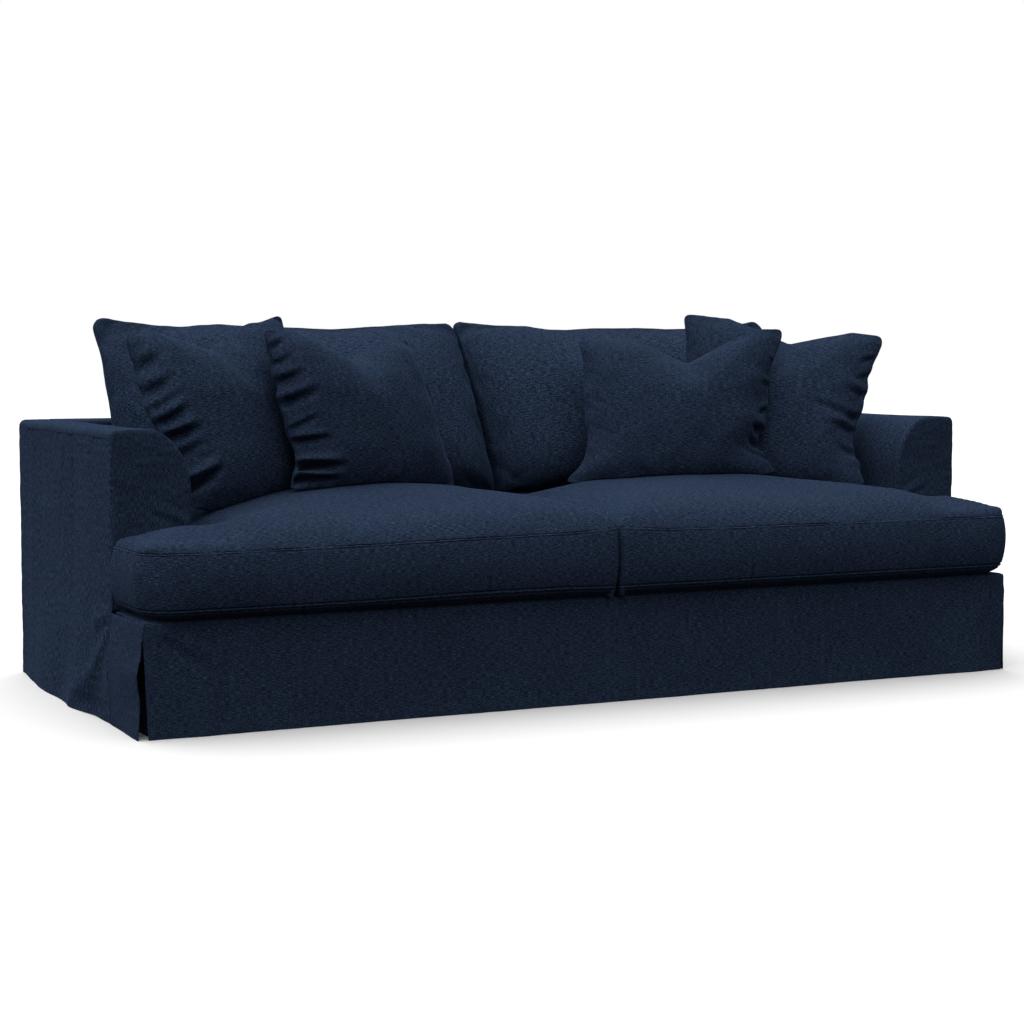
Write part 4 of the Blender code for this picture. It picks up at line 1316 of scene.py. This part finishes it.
def plump(piece, where, gathered, pressure, frames, most, spare, bending):
    """Fills a sewn cover: a short cloth simulation between fixed seams, held to a few centimetres.

    The cloth is a little longer than its seams, most where it is gathered, so that it wrinkles there.
    """
    weigh(piece, "seam", (where[:, 2] == 0.0).astype(float))
    weigh(piece, "gathered", gathered)
    before = get_points(piece.data)
    filling = piece.modifiers.new("filling", "CLOTH")
    settings = filling.settings
    settings.quality = 6
    settings.mass = 0.25
    settings.tension_stiffness = 18.0
    settings.compression_stiffness = 18.0
    settings.shear_stiffness = 6.0
    settings.bending_stiffness = bending
    settings.use_pressure = True
    settings.uniform_pressure_force = pressure
    settings.effector_weights.gravity = 0.0
    settings.vertex_group_mass = "seam"
    settings.vertex_group_shrink = "gathered"
    settings.shrink_min = -spare[0]
    settings.shrink_max = -spare[1]
    filling.collision_settings.use_collision = False
    filling.collision_settings.use_self_collision = False
    filling.point_cache.frame_start = 1
    filling.point_cache.frame_end = frames
    for number in range(1, frames + 1):
        bpy.context.scene.frame_set(number)
    evaluated = piece.evaluated_get(bpy.context.evaluated_depsgraph_get())
    after = get_points(evaluated.data)
    piece.modifiers.remove(filling)
    bpy.context.scene.frame_set(1)
    piece.vertex_groups.clear()
    move = after - before
    far = np.linalg.norm(move, axis=1, keepdims=True)
    move *= np.minimum(1.0, most / np.maximum(far, 1e-9))
    set_points(piece.data, before + move)


def carve(piece, height):
    """Raises and lowers a filled piece's surface."""
    normals = np.empty(len(piece.data.vertices) * 3)
    piece.data.vertex_normals.foreach_get("vector", normals)
    set_points(piece.data, get_points(piece.data) + normals.reshape(-1, 3) * height[:, None])


def make_room(piece, neighbours, gap=0.0012, away=None):
    """Presses a soft piece flat wherever it would reach into a neighbour.

    It gives way square to the neighbour's surface, or in the direction away where one is given.
    """
    points = get_points(piece.data)
    for neighbour in neighbours:
        bm = bmesh.new()
        bm.from_mesh(neighbour.data)
        tree = BVHTree.FromBMesh(bm)
        low = get_points(neighbour.data).min(axis=0) - 0.01
        high = get_points(neighbour.data).max(axis=0) + 0.01
        for number in np.nonzero(((points > low) & (points < high)).all(axis=1))[0]:
            place, normal = tree.find_nearest(Vector(points[number]))[:2]
            inside = (Vector(points[number]) - place).dot(normal)
            if inside < gap and away:
                place = tree.ray_cast(Vector(points[number]), Vector(away))[0]
                normal = Vector(away)
            if inside < gap and place:
                points[number] = np.array(place + normal * gap)
        bm.free()
    set_points(piece.data, points)


def soften(piece):
    """One subdivision, kept in the mesh."""
    smooth = piece.modifiers.new("smooth", "SUBSURF")
    smooth.levels = 1
    smooth.render_levels = 1
    evaluated = piece.evaluated_get(bpy.context.evaluated_depsgraph_get())
    mesh = bpy.data.meshes.new_from_object(evaluated)
    piece.modifiers.remove(smooth)
    old = piece.data
    piece.data = mesh
    bpy.data.meshes.remove(old)
    mesh.name = piece.name
    mesh.shade_smooth()


def back_cushion(side):
    size = BACK_CUSHION
    front = BACK_CUSHION_FRONT

    def place(u, v, face):
        across = (np.sin(u * math.pi / 2.0) + 1.0) / 2.0
        rise = (np.sin(v * math.pi / 2.0) + 1.0) / 2.0
        fat_u = np.clip(1.0 - abs(2.0 * across - 1.0) ** 3.2, 0.0, 1.0)
        fat_v = np.clip(1.0 - abs(2.0 * rise - 1.0) ** 3.0, 0.0, 1.0)
        wide = BACK_CUSHION_ASPECT
        for end, top in ((0, 1), (1, 1), (1, 0), (0, 0)):
            radius = BACK_CUSHION_CORNERS["outer" if end else "inner"]
            sign_u, sign_v = 2 * end - 1, 2 * top - 1
            across, rise = round_corner(across * wide, rise, end * wide, sign_u, top, sign_v, radius)
            across = across / wide
        outer = size["outer_x"] + (size["outer_top_x"] - size["outer_x"]) * rise ** 3
        outer = outer + BACK_CUSHION_SIDE_BULGE * np.sin(math.pi * np.clip(rise, 0.0, 1.0)) ** 2
        inner = size["inner_x"] + side * BACK_CUSHION_LEAN * (1.0 - rise) ** 1.25
        x = inner + (outer - inner) * across
        z = size["foot_z"] + (size["top_z"] - size["foot_z"]) * rise
        dip = sum(row["depth"] * np.sin(row["waves"] * math.pi * across) for row in BACK_CUSHION_DIPS)
        dip = dip + 0.004 * rough(across * 9.0, 0.0, 121 + side) * fat_u
        lift = look_up(BACK_CUSHION_TOPS[side], "across", "lift", across)
        z = z + (lift - dip) * rise ** 2
        rear_y = look_up(BACK_CUSHION_REAR, "z", "y", z)
        front_y = front["foot_y"] + (front["top_y"] - front["foot_y"]) * rise
        edge_y = (front_y + rear_y) / 2.0
        boxed = fat_u ** BACK_CUSHION_BOXED["sides"] * fat_v ** BACK_CUSHION_BOXED["ends"]
        if face > 0:
            y = edge_y + (front_y - 0.01 * fat_v - edge_y) * boxed - BACK_CUSHION_CROWN * fat_u * fat_v
        else:
            y = edge_y + (rear_y - edge_y) * boxed
        return x, y, np.maximum(z, SEAT_PRESSED_Z + PRESS_CLEARANCE)

    node = f"back_cushion_{name_of(side)}"
    piece, where = two_faces(f"{node}_cloth", BACK_CUSHION_GRID, place, side, cushion_cloth, (1.0, 0.5))
    u, v, face = where.T
    near_edge = np.exp(-(1.0 - abs(u)) / 0.2) + np.exp(-(1.0 - v) / 0.2)
    plump(piece, where, np.clip(near_edge, 0.0, 1.0), **BACK_CUSHION_FILLING)
    slack = 0.006 * rough(u * 3.5 + 4.0, v * 2.0 + 4.0, 123 + side)
    slack = slack + 0.0022 * rough(u * 11.0 + 12.0, v * 7.0 + 12.0, 125 + side) * near_edge
    for row in BACK_CUSHION_FOLDS[side]:
        slack = slack + crease(u, v, row, "u", "v")
    carve(piece, slack * (face > 0) * ease((1.0 - abs(u)) / 0.06) * ease((1.0 - abs(v)) / 0.06))
    points = get_points(piece.data)
    points[:, 2] = np.maximum(points[:, 2], SEAT_PRESSED_Z + PRESS_CLEARANCE)
    flat_y = np.minimum(points[:, 1], BACK_CUSHION_FLAT["y"])
    points[:, 1] = np.where(points[:, 2] < BACK_CUSHION_FLAT["up_to_z"], flat_y, points[:, 1])
    set_points(piece.data, points)
    soften(piece)
    fit(piece, node)
    return piece


back_pieces = {side: back_cushion(side) for side in (-1, 1)}


# THROW PILLOWS
# Four feather-filled pillows with knife edges and pointed corners. Each is dented along its top edge,
# and its side seams gather the cloth into deep uneven folds. The inner two lie over the outer two.

PILLOWS = {
    ("inner", -1): dict(
        top_in=(0.265, 0.13, 0.886), top_out=(0.752, -0.11, 0.909),
        foot_out=(0.709, -0.17, 0.521), foot_in=(0.167, 0.04, 0.502),
        draw_in=0.0, draw_out=0.012, chop_at=-0.04, chop_depth=0.073,
    ),
    ("outer", -1): dict(
        top_in=(0.605, 0.16, 0.953), top_out=(1.104, -0.12, 0.899),
        foot_out=(0.985, -0.25, 0.488), foot_in=(0.53, 0.11, 0.485),
        draw_in=0.020, draw_out=0.0, chop_at=0.08, chop_depth=0.073,
    ),
    ("inner", 1): dict(
        top_in=(0.251, 0.13, 0.887), top_out=(0.766, -0.11, 0.921),
        foot_out=(0.703, -0.17, 0.523), foot_in=(0.165, 0.04, 0.502),
        draw_in=0.026, draw_out=0.027, chop_at=0.08, chop_depth=0.087,
    ),
    ("outer", 1): dict(
        top_in=(0.605, 0.16, 0.966), top_out=(1.100, -0.12, 0.901),
        foot_out=(0.946, -0.25, 0.488), foot_in=(0.53, 0.11, 0.492),
        draw_in=0.020, draw_out=0.024, chop_at=0.08, chop_depth=0.056,
    ),
}
PILLOW_NOTCHES = {
    ("inner", -1): rows("edge v depth width", [(1, -0.55, 0.026, 0.32)]),
    ("outer", -1): rows("edge v depth width", [(1, 0.10, -0.022, 0.45), (1, -0.48, 0.016, 0.30)]),
    ("inner", 1): rows("edge v depth width", [(-1, -0.55, 0.028, 0.42), (1, -0.62, 0.030, 0.20)]),
    ("outer", 1): rows("edge v depth width", [(1, -0.45, 0.020, 0.35)]),
}
PILLOW_FRONT_THICKNESS = 0.092
PILLOW_BACK_THICKNESS = 0.072
PILLOW_FOOT_SAG = 0.034
PILLOW_CHOP = dict(reach=0.62, dent=0.030, at=0.85, over=0.35)
PILLOW_ROUNDNESS = 2.4
PILLOW_FULLNESS = 0.62
PILLOW_GATHERS = rows("v depth", [
    (0.72, 0.006),
    (0.38, 0.008),
    (0.02, 0.007),
    (-0.34, 0.009),
    (-0.68, 0.008),
])
PILLOW_SCALLOPS = dict(depth=0.0055, per_side=7.0, reach=0.10)
PILLOW_TOP_SLOPES = {("outer", -1): dict(at=-0.62, depth=0.013, width=0.24)}
PILLOW_GATHER_WIDTH = 0.13
PILLOW_GATHER_REACH = 0.24
PILLOW_TOP_ROUND = {("inner", -1): 0.05, ("outer", -1): 0.09, ("inner", 1): 0.085, ("outer", 1): 0.09}
PILLOW_FOOT_ROUND = 0.045
PILLOW_FOLDS = {
    ("inner", -1): rows("v reach rise depth width", [
        (0.74, 0.20, 0.14, 0.010, 0.045),
        (0.55, 0.18, 0.10, 0.008, 0.035),
        (0.32, 0.24, 0.12, 0.011, 0.045),
        (0.04, 0.34, 0.16, 0.018, 0.060),
        (-0.28, 0.30, 0.20, 0.012, 0.035),
        (-0.43, 0.36, 0.06, 0.018, 0.040),
        (-0.735, 0.48, 0.05, 0.040, 0.047),
        (-0.90, 0.46, 0.07, 0.030, 0.048),
    ]),
    ("outer", -1): rows("v reach rise depth width", [
        (0.57, 0.18, 0.10, 0.012, 0.060),
        (0.29, 0.24, 0.14, 0.010, 0.050),
        (0.10, 0.30, 0.18, 0.008, 0.035),
        (-0.07, 0.29, 0.16, 0.024, 0.042),
        (-0.235, 0.31, 0.10, 0.034, 0.048),
        (-0.44, 0.30, 0.16, 0.009, 0.050),
        (-0.79, 0.36, 0.22, 0.048, 0.055),
    ]),
    ("inner", 1): rows("v reach rise depth width", [
        (0.50, 0.12, 0.10, 0.005, 0.04),
        (0.16, 0.16, 0.10, 0.006, 0.05),
        (-0.14, 0.16, -0.05, 0.012, 0.035),
        (-0.46, 0.22, 0.14, 0.020, 0.050),
        (-0.66, 0.20, 0.22, 0.018, 0.035),
        (-0.82, 0.30, 0.30, 0.007, 0.035),
    ]),
    ("outer", 1): rows("v reach rise depth width", [
        (0.66, 0.18, -0.12, 0.009, 0.05),
        (0.42, 0.20, -0.10, 0.008, 0.04),
        (0.14, 0.28, 0.06, 0.010, 0.05),
        (-0.18, 0.75, 0.22, 0.009, 0.045),
        (-0.34, 0.46, 0.12, 0.012, 0.045),
        (-0.64, 0.26, 0.16, 0.010, 0.05),
    ]),
}
PILLOW_FILLING = dict(pressure=2.5, frames=16, most=0.014, spare=(0.010, 0.05), bending=0.35)
PILLOW_GRID = (76, 76)
pillow_cloth = chenille("pillow_chenille")


def gathers(across, rise, folds):
    """Folds that run in from the outer side seam, each a valley with a rounded ridge above it."""
    height = 0.0
    inward = 1.0 - across
    for row in folds:
        line = row["v"] + row["rise"] * inward / row["reach"]
        fade = (0.75 + 0.25 * ease(inward / 0.04)) * (1.0 - ease((inward / row["reach"] - 0.35) / 0.65))
        valley = bell(rise - line, row["width"] * (1.0 - 0.45 * np.clip(inward / row["reach"], 0.0, 1.0)))
        ridge = bell(rise - line - 1.7 * row["width"], row["width"])
        height = height + row["depth"] * fade * (0.45 * ridge - valley)
    return height


def pillow(kind, side, neighbours, before=()):
    """One throw pillow: it gives way to its neighbours, and backwards to pillows that lie before it."""
    form = PILLOWS[(kind, side)]
    corners = {key: np.array(form[key]) for key in ("top_in", "top_out", "foot_out", "foot_in")}

    def unit(vector):
        return vector / np.linalg.norm(vector)

    across_axis = unit(corners["top_out"] + corners["foot_out"] - corners["top_in"] - corners["foot_in"])
    up_axis = unit(corners["top_in"] + corners["top_out"] - corners["foot_in"] - corners["foot_out"])
    front_axis = np.cross(across_axis, up_axis)
    if front_axis[1] > 0.0:
        front_axis = -front_axis
    chop = PILLOW_CHOP

    def spread(u):
        return np.sin(u * math.pi / 2.0) * 0.5 + u * 0.5

    def place(u, v, face):
        across, rise = spread(u), spread(v)
        fat_u = np.clip(1.0 - abs(across) ** PILLOW_ROUNDNESS, 0.0, 1.0)
        fat_v = np.clip(1.0 - abs(rise) ** PILLOW_ROUNDNESS, 0.0, 1.0)
        fat = (fat_u * fat_v) ** PILLOW_FULLNESS
        gather = sum(row["depth"] * bell(rise - row["v"], PILLOW_GATHER_WIDTH) for row in PILLOW_GATHERS)
        near_side = np.exp(-(1.0 - abs(across)) / PILLOW_GATHER_REACH)
        for sign_u, sign_v in ((-1, -1), (-1, 1), (1, -1), (1, 1)):
            radius = PILLOW_TOP_ROUND[(kind, side)] if sign_v > 0 else PILLOW_FOOT_ROUND
            across, rise = round_corner(across, rise, sign_u, sign_u, sign_v, sign_v, radius)
        s = ((across + 1.0) / 2.0)[..., None]
        t = ((rise + 1.0) / 2.0)[..., None]
        low = corners["foot_in"] * (1.0 - s) + corners["foot_out"] * s
        high = corners["top_in"] * (1.0 - s) + corners["top_out"] * s
        point = low * (1.0 - t) + high * t
        t = t[..., 0]
        side_free = 1.0 - rise * rise
        top_free = 1.0 - across * across
        draw = np.where(across > 0.0, form["draw_out"], form["draw_in"]) * side_free
        for row in PILLOW_NOTCHES[(kind, side)]:
            notch = row["depth"] * bell(rise - row["v"], row["width"]) * ease((1.0 - abs(rise)) / 0.2)
            draw = draw + notch * (across * row["edge"] > 0.0)
        scallops = PILLOW_SCALLOPS
        scallop = scallops["depth"] * rough(rise * scallops["per_side"] + 8.0, 0.0, 141 + side * 2)
        scallop = scallop * np.exp(-(1.0 - across) / scallops["reach"]) * ease((1.0 - abs(rise)) / 0.15)
        drawn = across * (draw + gather * near_side * 0.3) + scallop
        dent = np.clip(1.0 - abs(across - form["chop_at"]) / chop["reach"], 0.0, 1.0) ** 1.15
        sunk = form["chop_depth"] * dent * t ** 5 + PILLOW_FOOT_SAG * top_free * (1.0 - t) ** 2
        slope = PILLOW_TOP_SLOPES.get((kind, side))
        if slope:
            sunk = sunk + slope["depth"] * bell(across - slope["at"], slope["width"]) * t ** 5
        thick = (PILLOW_FRONT_THICKNESS if face > 0 else PILLOW_BACK_THICKNESS) * fat
        thick = thick - chop["dent"] * dent * bell(rise - chop["at"], chop["over"]) * fat ** 0.5
        point = point - across_axis * drawn[..., None] - up_axis * sunk[..., None]
        point = point + front_axis * (thick * face)[..., None]
        return point[..., 0], point[..., 1], point[..., 2]

    node = f"pillow_{kind}_{name_of(side)}"
    piece, where = two_faces(f"{node}_cloth", PILLOW_GRID, place, side, pillow_cloth, (0.56, 0.50))
    across, rise, face = spread(where[:, 0]), spread(where[:, 1]), where[:, 2]
    outer_side = np.exp(-(1.0 - across) / 0.22)
    inner_side = np.exp(-(1.0 + across) / 0.12)
    plump(piece, where, np.clip(outer_side + 0.5 * inner_side, 0.0, 1.0), **PILLOW_FILLING)
    height = gathers(across, rise, PILLOW_FOLDS[(kind, side)]) * (face >= 0.0)
    height = height + 0.004 * rough(across * 4.0 + 5.0, rise * 4.0 + 5.0, 131 + side * 3) * abs(face)
    small = rough(across * 3.0 + 9.0, rise * 15.0 + 16.0, 137 + side) * outer_side
    top_and_foot = np.exp(-(1.0 - abs(rise)) / 0.10)
    small = small + rough(across * 15.0 + 16.0, rise * 3.0 + 5.0, 139 + side) * top_and_foot
    height = height + 0.0024 * small * abs(face)
    edge = ease((1.0 - np.maximum(abs(across), abs(rise))) / 0.03)
    carve(piece, height * (0.35 + 0.65 * edge))
    make_room(piece, before, away=(0.0, 1.0, 0.0))
    make_room(piece, neighbours)
    soften(piece)
    fit(piece, node)
    return piece


for side in (-1, 1):
    arm_piece = bpy.data.objects[f"inside_arm_{name_of(side)}_cloth"]
    inner_pillow = pillow("inner", side, [seat_pieces[side], back_pieces[side]])
    pillow("outer", side, [seat_pieces[side], back_pieces[side], arm_piece], before=[inner_pillow])


# TOPSTITCHING
# Short stitches of dark blue thread run beside the seams of the arms' fronts and the side returns,
# along the outside back's hem and on the seat cushions' seams. One small stitch is set along each row
# at an even pitch, and all of them are then kept as plain meshes.

STITCH = {"Pitch": 0.0046, "Length": 0.0032, "Thickness": 0.0007}
# The thread's blue is lighter than the cloth's: partly the thread's own tone, partly a painted highlight
# for the light that the stitches catch.
THREAD_BLUE_AND_HIGHLIGHT = (0.022, 0.034, 0.064, 1.0)


def stitch_tree(material):
    """Geometry Nodes: lines in, one stitch at each step along them out."""
    tree = bpy.data.node_groups.new("topstitches", "GeometryNodeTree")
    tree.interface.new_socket("Lines", in_out="INPUT", socket_type="NodeSocketGeometry")
    for label in STITCH:
        tree.interface.new_socket(label, in_out="INPUT", socket_type="NodeSocketFloat")
    tree.interface.new_socket("Stitches", in_out="OUTPUT", socket_type="NodeSocketGeometry")
    nodes, links = tree.nodes, tree.links
    start = nodes.new("NodeGroupInput")
    end = nodes.new("NodeGroupOutput")
    to_curve = nodes.new("GeometryNodeMeshToCurve")
    to_points = nodes.new("GeometryNodeCurveToPoints")
    to_points.mode = "LENGTH"
    stitch = nodes.new("GeometryNodeMeshIcoSphere")
    stitch.inputs["Radius"].default_value = 0.5
    stitch.inputs["Subdivisions"].default_value = 1
    size = nodes.new("ShaderNodeCombineXYZ")
    place = nodes.new("GeometryNodeInstanceOnPoints")
    realize = nodes.new("GeometryNodeRealizeInstances")
    paint = nodes.new("GeometryNodeSetMaterial")
    paint.inputs["Material"].default_value = material
    for source, output, target, socket in (
        (start, "Lines", to_curve, "Mesh"),
        (to_curve, "Curve", to_points, "Curve"),
        (start, "Pitch", to_points, "Length"),
        (start, "Thickness", size, "X"),
        (start, "Thickness", size, "Y"),
        (start, "Length", size, "Z"),
        (to_points, "Points", place, "Points"),
        (to_points, "Rotation", place, "Rotation"),
        (stitch, "Mesh", place, "Instance"),
        (size, "Vector", place, "Scale"),
        (place, "Instances", realize, "Geometry"),
        (realize, "Geometry", paint, "Geometry"),
        (paint, "Geometry", end, "Stitches"),
    ):
        links.new(source.outputs[output], target.inputs[socket])
    return tree


def sew(name, paths, tree):
    """Sets stitches along the paths, as one plain mesh."""
    lines = bpy.data.meshes.new(f"{name}_lines")
    points, edges = [], []
    for path in paths:
        first = len(points)
        points += path.tolist()
        edges += [(first + step, first + step + 1) for step in range(len(path) - 1)]
    lines.from_pydata(points, edges, [])
    carrier = new_object(f"{name}_lines", lines)
    maker = carrier.modifiers.new("topstitches", "NODES")
    maker.node_group = tree
    for item in tree.interface.items_tree:
        if item.in_out == "INPUT" and item.name in STITCH:
            maker[item.identifier] = STITCH[item.name]
    evaluated = carrier.evaluated_get(bpy.context.evaluated_depsgraph_get())
    mesh = bpy.data.meshes.new_from_object(evaluated)
    bpy.data.objects.remove(carrier)
    mesh.name = name
    piece = new_object(name, mesh)
    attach(piece, "root")


thread_material, _ = finish("topstitch_thread", {"Base Color": THREAD_BLUE_AND_HIGHLIGHT, "Roughness": 0.6})
topstitches = stitch_tree(thread_material)
sew("cover_topstitches", stitch_paths, topstitches)
sew("cushion_topstitches", cushion_stitch_paths, topstitches)


# STUDIO
# A white floor and white surroundings. Wide soft lights overhead keep the tops and the left side
# bright and the front in soft shade. The floor throws back almost nothing, so undersides stay dark.

SOFT_BOXES = rows("direction spread strength", [
    ((-0.10, -0.50, 0.85), 4.0, 1.46),
    ((0.0, 0.55, 0.80), 4.0, 3.35),
    ((-0.60, 0.0, 0.80), 4.0, 0.78),
    ((-0.45, -0.45, 0.77), 8.0, 1.58),
])
SKY_GLOW = 0.21
FLOOR_GLOW = 0.03
FLOOR_REACH = 40.0
CAMERA = dict(
    place=(-2.466996, -4.943615, 0.841776), lens=72.89, sensor=36.0, down=4.2758, turn=-26.347
)


def studio_floor():
    mesh = bpy.data.meshes.new("studio_floor")
    reach = FLOOR_REACH
    corners = [(-reach, -reach, 0.0), (reach, -reach, 0.0), (reach, reach, 0.0), (-reach, reach, 0.0)]
    mesh.from_pydata(corners, [], [(0, 1, 2, 3)])
    matt_white = {"Base Color": grey(0.60), "Roughness": 0.9, "Specular IOR Level": 0.0}
    mesh.materials.append(finish("studio_floor", matt_white)[0])
    floor = new_object("studio_floor", mesh)
    floor.visible_diffuse = False
    floor.visible_glossy = False
    floor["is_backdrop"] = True


studio_floor()

world = bpy.data.worlds.new("studio")
world.use_nodes = True
sky_nodes = world.node_tree.nodes
sky_links = world.node_tree.links
view_direction = sky_nodes.new("ShaderNodeTexCoord").outputs["Generated"]


def sky_math(operation, first, second):
    node = sky_nodes.new("ShaderNodeMath")
    node.operation = operation
    for socket, value in zip(node.inputs, (first, second)):
        if isinstance(value, bpy.types.NodeSocket):
            sky_links.new(value, socket)
        else:
            socket.default_value = value
    return node.outputs[0]


def soft_box(direction, spread, strength):
    """A wide soft light far away in one direction."""
    towards = sky_nodes.new("ShaderNodeVectorMath")
    towards.operation = "DOT_PRODUCT"
    towards.inputs[1].default_value = Vector(direction).normalized()
    sky_links.new(view_direction, towards.inputs[0])
    facing = sky_math("MAXIMUM", towards.outputs["Value"], 0.0)
    return sky_math("MULTIPLY", sky_math("POWER", facing, spread), strength)


glow = SKY_GLOW
for row in SOFT_BOXES:
    glow = sky_math("ADD", soft_box(row["direction"], row["spread"], row["strength"]), glow)
separate = sky_nodes.new("ShaderNodeSeparateXYZ")
sky_links.new(view_direction, separate.inputs[0])
above_floor = sky_math("GREATER_THAN", separate.outputs["Z"], 0.0)
glow = sky_math("ADD", sky_math("MULTIPLY", glow, above_floor), FLOOR_GLOW)
seen = sky_nodes.new("ShaderNodeLightPath").outputs["Is Camera Ray"]
glow = sky_math("MAXIMUM", sky_math("MULTIPLY", glow, sky_math("SUBTRACT", 1.0, seen)), seen)
background = sky_nodes["Background"]
background.inputs["Color"].default_value = (1.0, 1.0, 1.0, 1.0)
sky_links.new(glow, background.inputs["Strength"])
bpy.context.scene.world = world

camera_data = bpy.data.cameras.new("camera")
camera_data.lens = CAMERA["lens"]
camera_data.sensor_width = CAMERA["sensor"]
camera = new_object("camera", camera_data)
camera.location = CAMERA["place"]
camera.rotation_euler = (math.radians(90.0 - CAMERA["down"]), 0.0, math.radians(CAMERA["turn"]))
bpy.context.scene.camera = camera
bpy.context.scene.view_settings.view_transform = "Standard"

visual_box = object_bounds()
boxes = {"cad": cad_box, "visual": visual_box}
{key: [[float(c) for c in corner] for corner in box] for key, box in boxes.items()}
